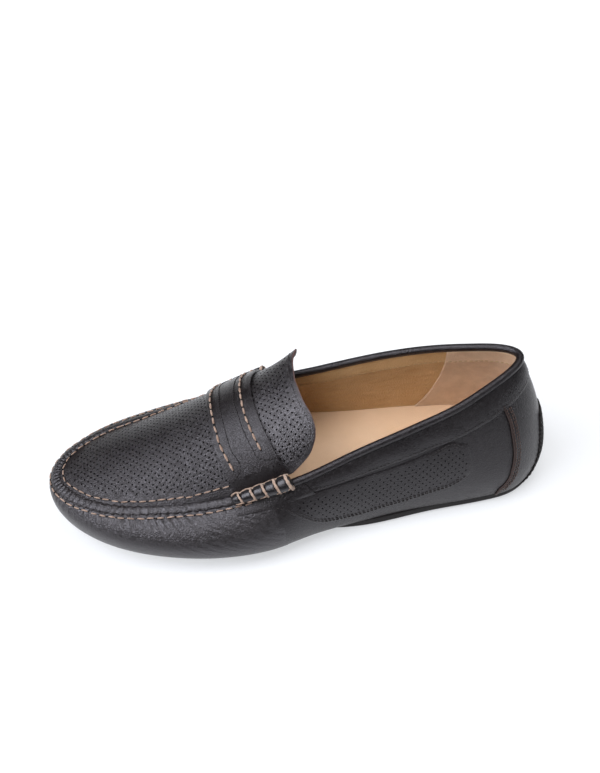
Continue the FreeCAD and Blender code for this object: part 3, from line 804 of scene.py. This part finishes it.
def build_sole():
    deselect()
    bpy.ops.mesh.primitive_circle_add(vertices=220, radius=1, fill_type="NGON")
    sole = named("outsole_rubber")
    flat = read_points(sole)
    angle = np.arctan2(-flat[:, 1], -flat[:, 0])
    rim = sole_edge(angle)
    write_points(sole, in_metres(np.column_stack([rim, np.full(len(rim), SOLE_BOTTOM)])))
    edit()
    bpy.ops.mesh.extrude_region_move(TRANSFORM_OT_translate={"value": (0, 0, (SOLE_TOP - SOLE_BOTTOM) * MM)})
    bpy.ops.mesh.select_all(action="SELECT")
    bpy.ops.mesh.normals_make_consistent(inside=False)
    leave_edit()
    apply(sole, "BEVEL", width=.7 * MM, segments=3, limit_method="ANGLE", angle_limit=radians(50))
    finish(sole, sole_rubber, ("outsole",))

    deselect()
    bpy.ops.mesh.primitive_cylinder_add(vertices=14, radius=1, depth=1, end_fill_type="NGON",
                                        location=(0, 0, .5))
    pod = named("pod_template")
    edit()
    bpy.ops.mesh.select_all(action="DESELECT")
    work = bmesh.from_edit_mesh(pod.data)
    for face in work.faces:
        face.select_set(face.normal.z < -.5)
    bmesh.update_edit_mesh(pod.data)
    bpy.ops.mesh.bevel(offset=.09, segments=2, affect="EDGES")
    bpy.ops.mesh.select_all(action="DESELECT")
    work = bmesh.from_edit_mesh(pod.data)
    for face in work.faces:
        face.select_set(face.normal.z < -.99)
    bmesh.update_edit_mesh(pod.data)
    bpy.ops.mesh.inset(thickness=.3, depth=0)
    bpy.ops.mesh.inset(thickness=.1, depth=-.12)
    leave_edit()
    shape = read_points(pod)
    faces = [tuple(face.vertices) for face in pod.data.polygons]
    bpy.data.objects.remove(pod)
    pitch, radius = 13, 3.2
    places = []
    for column in range(-10, 11):
        for line in range(-4, 5):
            x, y = column * pitch, (line + .5 * (column % 2)) * pitch
            share = (x + 137) / 276.5
            if not .13 < share < .985:
                continue
            reach = smooth((-137, -60, -10, 20, 140), (41, 41, 38, 36, 44), x)
            reach = reach * 2 * (share * (1 - share)) ** .5 - 2
            if abs(y - smooth(SHARES, FOOT_CENTRE, share)) < reach:
                places.append((x, y))
    size = (radius, radius, SOLE_BOTTOM + .3)
    points = np.array([shape * size + (x, y, 0) for x, y in places])
    pods = repeated("tread_pods_rubber", points, faces)
    finish(pods, sole_rubber, ("tread_pods",), smooth_angle=30)


# ------------------------------------------------------------------ inside
def sock_height(x):
    return smooth((-140, -75, 0, 60, 100, 140), (18.7, 14.8, 15.2, 18.1, 18.6, 19.1), x)


def build_inside():
    def sock_place(u, v):
        angle = blend(.16, pi - .14, u)
        x = feather(angle)[:, 0]
        height = sock_height(x)
        rims = [wall(side * angle, rise_at(side * angle, height, -3.7), -3.7) for side in (1, -1)]
        across = 2 * v - 1
        y = blend(rims[0][:, 1], rims[1][:, 1], v)
        hollow = -.9 * (1 - across ** 2) * step_up(40, 110, x) * step_up(150, 120, x)
        lip = 1.1 * np.abs(across) ** 14
        return np.stack([blend(rims[0][:, 0], rims[1][:, 0], v), y, height + hollow + lip], -1)
    sock = thicken(sheet("sock_leather_sheet", 110, 44, sock_place), 1, .25)
    finish(sock, sock_leather, ("sock_lining",))

    def foot_of(angle):
        return rise_at(angle, sock_height(feather(angle)[..., 0]) - 4.5, -3)

    def wrinkles(angle, rise, side):
        """Long shallow creases that run level along the lining."""
        height = rise * 60
        slow = np.sin(angle * 9 + height * .21 + side) + np.sin(angle * 21 - height * .33)
        return (.16 * np.sin(height * 1.35 + slow * 1.1) * (.4 + .6 * np.sin(angle * 14 + side) ** 2)
                + .1 * np.sin(height * 2.9 + angle * 31))

    for name, side in SIDES:
        def lining_place(u, v):
            angle = blend(1.46, 2.52, u)
            low = foot_of(side * angle)
            rise = blend(low, rise_below(side * angle, .3), v)
            tuck = 1.7 * step_up(.84, 1, v)
            return wall(side * angle, rise, tuck - 2.8 - wrinkles(angle, rise, side) * step_up(1, .9, v))
        lining = sheet(f"quarter_lining_{name}_sheet", 130, 46, lining_place)
        if side < 0:
            flip()
        thicken(lining, .8, 0)
        finish(lining, tan_lining, (f"quarter_lining_{name}",))

    def suede_place(u, v):
        front = blend(2.1, 2.4, v ** .8)
        angle = blend(front, 2 * pi - front, u)
        low = foot_of(angle)
        rise = blend(low, rise_below(angle, .3), v)
        soft = .22 * np.sin(angle * 17 + v * 5) * np.sin(angle * 7 + v * 9)
        return wall(angle, rise, soft * step_up(1, .9, v) - 3.55 + 2 * step_up(.84, 1, v))
    suede = thicken(sheet("heel_lining_suede", 130, 36, suede_place), .75, .2)
    finish(suede, heel_suede, ("heel_lining",))

    def lining_row(side):
        def path(share, proud):
            angle = side * blend(1.5, pi, share)
            inner = np.where(np.abs(angle) > 2.36, -4.35, -3.75)
            return wall(angle, rise_below(angle, 8.2), inner - proud)
        return path
    sewn("lining_stitches", [lining_row(1), lining_row(-1)], 3, 2.2, .22, 0, .05, lining_thread)


def flip():
    """Turns the faces of the active piece, the one just made, the other way out."""
    edit()
    bpy.ops.mesh.flip_normals()
    leave_edit()


# ------------------------------------------------------------------ vamp and quarters
def quarter_soft(angle, rise):
    """How the quarter's leather gives a little, in and out."""
    return .18 * np.sin(np.abs(angle) * 11) * np.sin(rise * 9) * step_up(0, .2, rise)


def quarter_angle(u, rise):
    """The quarter's angle, from the vamp at u 0 to under the counter's seam at u 1."""
    return blend(QUARTER_START, counter_seam(rise) + .012, u)


def build_wall():
    count, tuck_pitch = 1200, 3.5
    tuck_angles = np.linspace(-1.5, 1.5, count)
    seam_line = wall_point(tuck_angles, np.full(count, .95))
    tuck_run = np.concatenate([[0], np.cumsum(np.linalg.norm(np.diff(seam_line, axis=0), axis=1))])
    wander = np.cumsum(chance.normal(0, .16, count))
    wander -= np.linspace(0, wander[-1], count)
    depths = np.interp(np.arange(count), np.linspace(0, count - 1, 110), chance.uniform(.35, 1.1, 110))

    def tucks(angle, rise):
        """The gathers below the apron seam, where a longer edge is sewn to a shorter."""
        below = (1 - rise) * 44
        lean = below * np.sign(angle) * smooth((.3, 1, 1.35), (.0005, .004, .011), np.abs(angle))
        at = angle - lean
        run = np.interp(at, tuck_angles, tuck_run)
        phase = run / tuck_pitch * 2 * pi + 1.6 * np.interp(at, tuck_angles, wander)
        wave = np.sin(phase) * .5 + np.abs(np.sin(phase * .5)) * 1.3 - .8
        depth = np.interp(at, tuck_angles, depths)
        where = step_up(0, 3.2, below) * (1 - step_up(5, 18, below))
        side = smooth((-1.45, -1.2, -.6, 0, .7, 1.15, 1.3, 1.45), (0, .45, .6, .75, 1, 1, .5, .1), angle)
        fine = .1 * np.sin(phase * 2.3 + np.sin(run * .7) * 2)
        return (.42 * wave * depth + fine) * where * side

    def creases(angle, rise):
        """Fine slanting creases where the vamp bends, near the roll."""
        near = step_up(.9, 1.2, np.abs(angle)) * step_up(.25, .5, rise) * (1 - step_up(.85, .97, rise))
        turned = np.abs(angle) * 60 + rise * 34
        return near * (.09 * np.sin(turned * 1.9 + np.sin(rise * 17) * 1.4)
                       + .06 * np.sin(turned * 3.7 + np.sin(angle * 19)))

    def vamp_place(u, v):
        angle = blend(-VAMP_END, VAMP_END, u)
        rise = .992 * v
        lump = .25 * np.sin(angle * 5 + 1) * np.sin(rise * 6)
        return wall(angle, rise, tucks(angle, rise) + creases(angle, rise) + lump * step_up(0, .2, rise))
    vamp = thicken(sheet("vamp_leather_sheet", 560, 62, vamp_place), 1.2, 0)
    finish(vamp, vamp_leather, ("vamp",))

    for name, side in SIDES:
        def quarter_place(u, v):
            first = quarter_angle(u, v)
            rise = v * blend(.995, collar_rise(first) + .03, step_up(1.5, 1.56, first))
            angle = side * quarter_angle(u, rise)
            return wall(angle, rise, .02 + quarter_soft(angle, rise))
        quarter = sheet(f"quarter_{name}_sheet", 130, 40, quarter_place)
        if side < 0:
            flip()
        thicken(quarter, 1.2, 0)
        finish(quarter, smooth_leather, (f"quarter_{name}",))

    def counter_place(u, v):
        rise = v * (collar_rise(np.full(len(u), pi)) + .03)
        front = counter_seam(rise)
        angle = blend(front, 2 * pi - front, u)
        rise = v * (collar_rise(angle) + .03)
        dent = .25 * np.exp(-((rise - .5) / .12) ** 2) * np.sin(angle * 8)
        return wall(angle, rise, .5 + dent)
    counter = thicken(sheet("counter_leather_sheet", 120, 40, counter_place), 1.4, .25)
    finish(counter, smooth_leather, ("counter",))

    for name, side in SIDES:
        def strip_path(u):
            rise = blend(.05, .83, u)
            return wall(side * (counter_seam(rise) - .006), rise, .55)

        def strip_out(u):
            rise = blend(.05, .83, u)
            return wall(side * counter_seam(rise), rise, 1) - wall(side * counter_seam(rise), rise, 0)
        strip = tube(f"counter_strip_{name}", 60, 12, bar_along(strip_path, strip_out, .85, .45))
        finish(strip, strip_leather, (f"counter_piping_{name}",))

    def counter_row(side, away, proud_by):
        def path(share, proud):
            rise = blend(.09, .8, share)
            reach = away / np.linalg.norm(top(counter_seam(rise))[..., :2], axis=-1)
            return wall(side * (counter_seam(rise) + reach), rise, proud_by + proud)
        return path
    for name, side in SIDES:
        sewn(f"counter_stitches_{name}", [counter_row(side, 2.6, .5), counter_row(side, 4.2, .5)],
             2.3, 1.7, .24, .12, .08, brown_thread)
        sewn(f"strip_stitches_{name}", [counter_row(side, .2, 1.05)], 2, 1.4, .22, 0, .05, brown_thread)


# ------------------------------------------------------------------ the side panel
PANEL_LOWER = ((-21, -12, -3.3, 17, 37.5, 64.6, 81.8, 89.5), (34.5, 27.2, 20.4, 15, 16, 19.5, 24.4, 31))
PANEL_UPPER = ((-21, -15.6, 3.8, 23.6, 43.4, 63.2, 80.6, 87.6, 89.5),
               (35.5, 37.4, 38.8, 40.6, 43, 47.2, 50, 42.5, 33))


def build_panel():
    table_angle = np.linspace(1.3, 2.5, 240)
    table_rise = np.linspace(.05, .95, 120)
    spots = wall(table_angle[:, None], table_rise[None, :])

    def place(p, q, z):
        """p is the x and q the height on the lateral wall, in millimetres."""
        angle = np.interp(p, spots[:, 60, 0], table_angle)
        for _ in range(4):
            column = np.clip((angle - 1.3) / 1.2 * 239, 0, 238.99).astype(int)
            rise = np.array([np.interp(h, spots[c, :, 2], table_rise) for h, c in zip(q, column)])
            angle = angle - (wall(angle, rise)[:, 0] - p) / 110
        return wall(angle, rise, .34 + quarter_soft(angle, rise) + z)

    lower = np.linspace(-21, 89.5, 90)
    upper = np.linspace(89.5, -21, 90)
    outline = np.concatenate([
        np.column_stack([lower, smooth(*PANEL_LOWER, lower)]),
        np.column_stack([upper, smooth(*PANEL_UPPER, upper)])])
    panel = perforated("perforated_panel_sheet", outline, 2.1, .85, 3.4, .3, place, smooth_leather)
    finish_perforated(panel, smooth_leather, ("perforated_panel",))

    def border(inset, table, start, end):
        def path(share, proud):
            x = blend(start, end, share)
            z = smooth(*table, x)
            slope = (smooth(*table, x + .5) - smooth(*table, x - .5))
            sign = 1 if table is PANEL_LOWER else -1
            length = np.sqrt(1 + slope * slope)
            return place(x - sign * slope / length * inset, z + sign * inset / length, .02 + proud)
        return path

    def front_seam(share, proud):
        return place(blend(-32, -20.5, share), blend(38.5, 33.8, share), .2 + proud)
    rows = [border(.9, PANEL_LOWER, -19, 86), border(2.3, PANEL_LOWER, -15, 83),
            border(.9, PANEL_UPPER, 62, 85), border(2.3, PANEL_UPPER, 64, 82), front_seam]
    sewn("panel_stitches", rows, 2.4, 1.75, .24, .08, .08, dark_thread)


# ------------------------------------------------------------------ collar and heel
def build_collar():
    way = (COLLAR_START, 2 * pi - COLLAR_START)

    def band_place(u, v):
        angle = blend(way[0], way[1], u)
        rise = blend(collar_rise(angle), rise_below(angle, 1.2), v)
        ends = step_up(0, .045, np.minimum(u, 1 - u))
        puff = .2 + (.35 + .75 * np.sin(pi * np.clip(v * 1.04, 0, 1)) ** .8) * ends
        folds = .12 * np.sin(angle * 26 + v * 3) * np.exp(-((np.abs(angle - pi) - .95) / .5) ** 2)
        return wall(angle, rise, puff + folds)
    band = thicken(sheet("collar_band_leather", 300, 22, band_place), 1.3, .35)
    finish(band, smooth_leather, ("collar_band", "collar_foam"))

    def bead_path(u):
        return top(blend(way[0], way[1], u)) + np.array((0, 0, .35))

    def bead_out(u):
        angle = blend(way[0], way[1], u)
        flat = top(angle) * (1, 1, 0)
        return unit(flat) * .5 + np.array((0, 0, 1))
    bead = tube("collar_bead_leather", 260, 16, bar_along(bead_path, bead_out, 2.25, 2.35))
    finish(bead, smooth_leather, ("collar_bead",))

    def band_row(share, proud):
        angle = blend(way[0] + .02, way[1] - .02, share)
        return wall(angle, collar_rise(angle) + .022, .62 + proud)
    sewn("collar_stitches", [band_row], 2.2, 1.6, .22, .3, .05, dark_thread)


def build_heel():
    rib_count = 13
    tab_foot, tab_top = .02, .53

    def tab_reach(v):
        """How far round the heel the tab goes, to each side, from its foot at v 0 to its top."""
        return .34 * (1 - .45 * v ** 3) + .2 * (1 - v) ** 5

    def tab_place(u, v):
        wave = np.cos(v * 2 * pi * rib_count)
        reach = tab_reach(v) * (.985 + .015 * wave)
        reach *= (1 - .999 * np.clip((v - .9) / .1, 0, 1) ** 3) ** .5
        ribs = .22 * wave * step_up(0, .08, np.minimum(v, 1 - v))
        crown = 1.15 + .35 * np.sin(pi * u) + ribs
        return wall(pi + reach * (2 * u - 1), blend(tab_foot, tab_top, v), crown)
    tab = thicken(sheet("heel_tab_rubber", 36, 80, tab_place), 1.5, .4)
    finish(tab, sole_rubber, ("heel_tab",))

    def tab_row(side):
        def path(share, proud):
            v = blend(.04, .97, share)
            reach = tab_reach(v) - .03
            return wall(pi + side * reach, blend(tab_foot, tab_top, v), 1.2 + proud)
        return path
    sewn("heel_tab_stitches", [tab_row(1), tab_row(-1)], 3, 2.1, .32, .05, .1, dark_thread)


# ------------------------------------------------------------------ apron and its seam
def plan_inside(angle, distance):
    """Points of the topline, moved inwards in plan."""
    here = top(angle)
    ahead = top(angle + .01) - top(angle - .01)
    inward = unit(np.stack([ahead[:, 1], -ahead[:, 0], np.zeros(len(here))], -1))
    centre = np.array((0, 2, 0))
    inward *= np.sign(np.sum((centre - here) * inward, axis=1))[:, None]
    return here + inward * distance


def on_instep(points, proud):
    across = (points[:, 1] - middle_y(points[:, 0])) / half_width(points[:, 0])
    return instep(points[:, 0], np.clip(across, -.995, .995), proud)


def build_apron():
    edge = plan_inside(np.linspace(-1.34, 1.34, 150), .9)
    across = np.clip((edge[:, 1] - middle_y(edge[:, 0])) / half_width(edge[:, 0]), -1, 1)
    edge_girth = girth_of(edge[:, 0], across)
    outline = np.column_stack([edge[:, 0] / RUN_TO_X, edge_girth])

    def place(run, girth, z):
        x = run * RUN_TO_X
        share = across_of(x, girth)
        return instep(x, np.clip(share, -.999, .999), z)
    apron = perforated("apron_leather_sheet", outline, 1.95, .98, 7.0, 1.1, place, apron_leather)
    finish_perforated(apron, apron_leather, ("apron",))

    reach = 1.31

    def ridge_path(u):
        return top(blend(-reach, reach, u)) + np.array((0, 0, .1))

    def ridge_out(u):
        angle = blend(-reach, reach, u)
        flat = (top(angle) - np.array((-60, 2, 0))) * (1, 1, 0)
        return unit(flat) * .45 + np.array((0, 0, 1))

    def gathered(u):
        return 2.9 + .3 * np.cos(u * 2 * pi * 56) + .12 * np.sin(u * 2 * pi * 131)
    ridge = tube("moc_seam_roll", 460, 14, bar_along(ridge_path, ridge_out, gathered,
                                                    lambda u: gathered(u) * .48))
    finish(ridge, vamp_leather, ("moc_seam",))

    def inner_row(share, proud):
        angle = blend(-1.28, 1.28, share)
        return on_instep(plan_inside(angle, 4.1), proud)

    def outer_row(share, proud):
        angle = blend(-1.36, 1.36, share)
        return wall(angle, rise_below(angle, 3.9), proud)
    _, inner = sewn("apron_stitch_row", [inner_row], 5.1, 4.4, .37, .2, .3, tan_thread,
                    ("apron_stitches",))
    _, outer = sewn("vamp_stitch_row", [outer_row], 5.3, 4.4, .4, .25, .35, tan_thread,
                    ("vamp_stitches",))
    needle_hole_shade("apron_needle_holes", inner, .42, .02)
    needle_hole_shade("vamp_needle_holes", outer, .42, .05)


# ------------------------------------------------------------------ strap, rolls, tongue
STRAP_LIFT = 1.75


def build_strap():
    def strap_place(u, v):
        across = (2 * v - 1) * .955
        x = blend(strap_front(across), strap_rear(across), u)
        puff = .2 * np.sin(pi * u) ** .5
        dip = -1.0 * step_up(.86, .95, np.abs(across))
        return instep(x, across, STRAP_LIFT + puff + dip)
    strap = thicken(sheet("strap_leather", 128, 110, strap_place), 1.45, .35)
    finish(strap, smooth_leather, ("strap",))

    def heavy_row(start, sweep, reach):
        def path(share, proud):
            across = blend(-reach, reach, share)
            return instep(start + sweep * np.abs(across) ** 2.6, across, STRAP_LIFT + .15 + proud)
        return path
    rows = (("front", heavy_row(-50.8, 12.5, .79)), ("rear", heavy_row(-34.2, 15, .71)))
    for name, path in rows:
        _, row = sewn(f"strap_row_{name}", [path], 5.6, 4.9, .58, .2, .35, tan_thread,
                      (f"strap_stitches_{name}",), uneven=.03)
        needle_hole_shade(f"strap_needle_holes_{name}", row, .55, -.05)

    fronts = ((-46.2, 0), (-45.4, -.3), (-43.9, -.572), (-41.2, -.704), (-40, -.784), (-42.4, -.843),
              (-45.1, -.879))
    rears = ((-38.4, 0), (-36.7, -.337), (-34.8, -.532), (-32.6, -.664), (-31.1, -.744), (-26.4, -.808),
             (-21.6, -.816))

    def arc(points, side):
        table = np.array(points)
        stations = np.linspace(0, 1, len(table))

        def path(share, proud):
            x = smooth(stations, table[:, 0], share)
            across = side * smooth(stations, table[:, 1], share)
            return instep(x, across, STRAP_LIFT + .12 + proud)
        return path
    arcs = [arc(points, side) for points in (fronts, rears) for side in (1, -1)]
    _, fine = sewn("strap_fine_stitches", arcs, 2, 1.4, .22, .06, .06, dark_thread)
    needle_hole_shade("strap_fine_holes", fine, .3, .02)

    for name, side in SIDES:
        def tab_place(u, v):
            x_top = blend(-46, -10, u)
            angle = angle_at(x_top) + blend(0, .04, v) * (u - .3)
            drop = blend(8, 12, u) * v
            proud = (.15 + .9 * step_up(.55, 1, u)) * (1 - step_up(.78, 1, v))
            return wall(side * angle, rise_below(side * angle, drop + .3), proud)
        tab = sheet(f"strap_tab_{name}", 40, 14, tab_place)
        if side > 0:
            flip()
        thicken(tab, .9, .25)
        finish(tab, smooth_leather)


def build_rolls():
    wraps_at = (.15, .36, .56, .76, .955)
    for name, side in SIDES:
        def centre(s):
            x = blend(-47.3, -15, s)
            spot = top(side * angle_at(x))
            shift_y, shift_z = blend(1.7, 2.6, s), blend(2.0, 4.9, s)
            return spot + np.stack([np.zeros_like(s), -side * shift_y, shift_z], -1)

        def radius(s):
            return blend(2.5, 4.6, s ** .85)

        def outward(s):
            return np.broadcast_to(np.array((0, -side * .75, 1.)), (len(s), 3))

        def lobes(s):
            pinch = sum(np.exp(-((s - at) / .028) ** 2) for at in wraps_at)
            ends = np.clip(1 - ((s - .5) / .505) ** 16, .02, 1) ** .5
            return radius(s) * (1.06 - .26 * np.minimum(pinch, 1)) * ends
        roll = tube(f"beefroll_{name}_leather", 150, 22,
                    bar_along(centre, outward, lobes, lambda s: lobes(s) * .96))
        finish(roll, roll_leather, (f"beefroll_{name}",), smooth_angle=60)

        parts = []
        for k, at in enumerate(wraps_at):
            def loop(u):
                s = np.full(len(u), at)
                spot = centre(s)
                ahead = unit(centre(s + .02) - centre(s - .02))
                out = outward(s)
                out = unit(out - ahead * np.sum(out * ahead, axis=-1, keepdims=True))
                across = np.cross(ahead, out)
                turn = 2 * pi * u
                reach = radius(s) * .86 + .4
                return (spot + out * (reach * np.cos(turn))[:, None]
                        + across * (reach * np.sin(turn))[:, None]
                        + ahead * (.9 * np.sin(turn) * side)[:, None])

            def loop_out(u):
                return loop(u) - centre(np.full(len(u), at))
            thick = blend(.5, .78, k / 4)
            parts.append(tube(f"wrap_{name}_{k}", 44, 8, bar_along(loop, loop_out, thick * 1.08, thick * .7,
                                                                  turns=9, lobes=.16)))
        for k, (first, last) in enumerate(zip((0, *wraps_at), wraps_at)):
            def scallop(u):
                s = blend(first, last, u)
                spot = centre(s)
                lift = radius(s) * .86 + .2 + .9 * np.sin(pi * u)
                inner = np.stack([np.zeros_like(s), np.full_like(s, side * .80), np.full_like(s, .62)], -1)
                return spot + inner * lift[:, None]

            def scallop_out(u):
                return np.broadcast_to(np.array((0, side * .5, 1.)), (len(u), 3))
            parts.append(tube(f"loop_{name}_{k}", 16, 8, bar_along(scallop, scallop_out, .46, .42,
                                                                  turns=3, lobes=.12)))
        deselect()
        for part in parts:
            part.select_set(True)
        bpy.context.view_layer.objects.active = parts[0]
        bpy.ops.object.join()
        wraps = named(f"beefroll_threads_{name}")
        finish(wraps, tan_thread, (f"beefroll_wraps_{name}",), smooth_angle=60)

        def lower_row(share, proud):
            s = blend(.03, .99, share)
            down = np.stack([np.zeros_like(s), np.full_like(s, -side * .95), np.full_like(s, -.3)], -1)
            return centre(s) + down * (radius(s) * .93 + proud)[:, None]
        sewn(f"beefroll_lower_row_{name}", [lower_row], 6.2, 4.8, .42, .1, .1, tan_thread)


TONGUE_REAR_AT = (0, .36, .6, .74, .84, .915, .947, .97)
TONGUE_REAR_X = (-5, -3, .1, .6, -1.2, -5.4, -10, -14.3)


def tongue_rear(across):
    return smooth(TONGUE_REAR_AT, TONGUE_REAR_X, np.abs(across))


def tongue_lift(x, across):
    """The tongue springs off the instep behind the strap, most on the medial side."""
    behind = np.clip((x - strap_rear(across)) / (tongue_rear(across) - strap_rear(across)), 0, 1.2)
    flare = smooth((-1, -.2, .3, .56, .75, 1), (.5, 1.2, 3, 6.2, 3.4, 1.2), across)
    return .1 + flare * behind ** 1.7


def build_tongue():
    sides = np.linspace(-.97, .97, 90)
    rear_x = tongue_rear(sides) + 1.6 * np.exp(-((sides - .56) / .12) ** 2)
    front_sides = np.linspace(.97, -.97, 40)
    x = np.concatenate([rear_x, np.full(40, -37.0)])
    across = np.concatenate([sides, front_sides * .97])
    outline = np.column_stack([x / RUN_TO_X, girth_of(x, across)])

    def place(run, girth, z):
        x = run * RUN_TO_X
        share = np.clip(across_of(x, girth), -.985, .985)
        return instep(x, share, tongue_lift(x, share) + z)
    tongue = perforated("tongue_leather_sheet", outline, 1.95, .98, 5, 1.25, place, edge_leather)
    piece = finish_perforated(tongue, tongue_leather, ("tongue",), body=None)
    bend(piece)

    def edge_row(share, proud):
        side = blend(-.9, .8, share)
        return instep(tongue_rear(side) - 2.8, side * .985,
                      tongue_lift(tongue_rear(side) - 2.8, side) + proud)
    row, _ = sewn("tongue_edge_stitches", [edge_row], 2.1, 1.5, .22, .06, .05, dark_thread, body=None)
    bend(row)


def bend(piece):
    """Bakes the piece's transform into its mesh."""
    tuple(in_metres((-31, 0, 72)))
    tuple(in_metres((-22.5, 0, 75)))
    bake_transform(piece)


# ------------------------------------------------------------------ carried-over pieces
def finish_hidden():
    finishes = {
        "leather_base": smooth_leather, "insole_board": fibre_board, "footbed_foam": soft_foam,
        "heel_pad": soft_foam, "vamp_lining": tan_lining, "heel_stiffener": fibre_board,
        "apron_lining": tan_lining,
    }
    for name, material in finishes.items():
        node = frame["nodes"][name]
        node.data.materials.clear()
        node.data.materials.append(material)


# ------------------------------------------------------------------ studio
def build_studio():
    deselect()
    bpy.ops.mesh.primitive_plane_add(size=2.6, location=(0, 1.09, 0))
    floor = named("studio_floor")
    material = bpy.data.materials.new("pale_floor")
    material.use_nodes = True
    shader = material.node_tree.nodes["Principled BSDF"]
    shader.inputs["Base Color"].default_value = (.5, .505, .51, 1)
    shader.inputs["Roughness"].default_value = .85
    shader.inputs["Specular IOR Level"].default_value = .1
    shader.inputs["Emission Strength"].default_value = 1
    tree = material.node_tree
    coordinates = add_node(tree, "ShaderNodeTexCoord")
    parts = add_node(tree, "ShaderNodeSeparateXYZ")
    paler = add_node(tree, "ShaderNodeMapRange", {"From Min": -.1, "From Max": .85})
    glow = add_node(tree, "ShaderNodeMix", {6: (.475, .485, .5, 1), 7: (1, 1, 1, 1)}, {"data_type": "RGBA"})
    tree.links.new(coordinates.outputs["Object"], parts.inputs["Vector"])
    tree.links.new(parts.outputs["Y"], paler.inputs["Value"])
    tree.links.new(paler.outputs["Result"], glow.inputs[0])
    tree.links.new(glow.outputs[2], shader.inputs["Emission Color"])
    floor.data.materials.append(material)

    world = bpy.data.worlds.new("studio_air")
    bpy.context.scene.world = world
    world.use_nodes = True
    background = world.node_tree.nodes["Background"]
    background.inputs["Color"].default_value = (.93, .96, 1, 1)
    background.inputs["Strength"].default_value = .03

    def softbox(name, place, aim, width, depth, power, colour):
        light = bpy.data.lights.new(name, "AREA")
        light.shape = "RECTANGLE"
        light.size, light.size_y = width, depth
        light.energy = power
        light.color = colour
        lamp = bpy.data.objects.new(name, light)
        bpy.context.scene.collection.objects.link(lamp)
        lamp.location = place
        lamp.rotation_euler = (Vector(aim) - Vector(place)).to_track_quat("-Z", "Y").to_euler()
    softbox("toe_softbox", (-.9, -.22, 1), (-.05, 0, .04), .95, 1.3, 21, (.92, .945, 1))
    softbox("top_softbox", (.25, .05, 1.15), (.05, 0, 0), .9, .9, 7.5, (.98, .98, 1))
    softbox("low_card", (.8, -.88, .33), (.1, 0, .06), 1, .4, 1.1, (.95, .97, 1))
    softbox("side_fill", (-.5, -1.05, 1.1), (.05, 0, .04), .6, .6, 4, (1, .985, .98))

    lens = bpy.data.cameras.new("studio_camera")
    lens.sensor_width = 36
    lens.lens = 41.58
    camera = bpy.data.objects.new("studio_camera", lens)
    bpy.context.scene.collection.objects.link(camera)
    place, aim = Vector((-.06794, -.35386, .40412)), Vector((.0054, .03995, .0404))
    camera.location = place
    camera.rotation_euler = (aim - place).to_track_quat("-Z", "Y").to_euler()
    bpy.context.scene.camera = camera
    bpy.context.scene.view_settings.view_transform = "Standard"


build_sole()
build_inside()
build_wall()
build_panel()
build_collar()
build_heel()
build_apron()
build_strap()
build_rolls()
build_tongue()
finish_hidden()
build_studio()
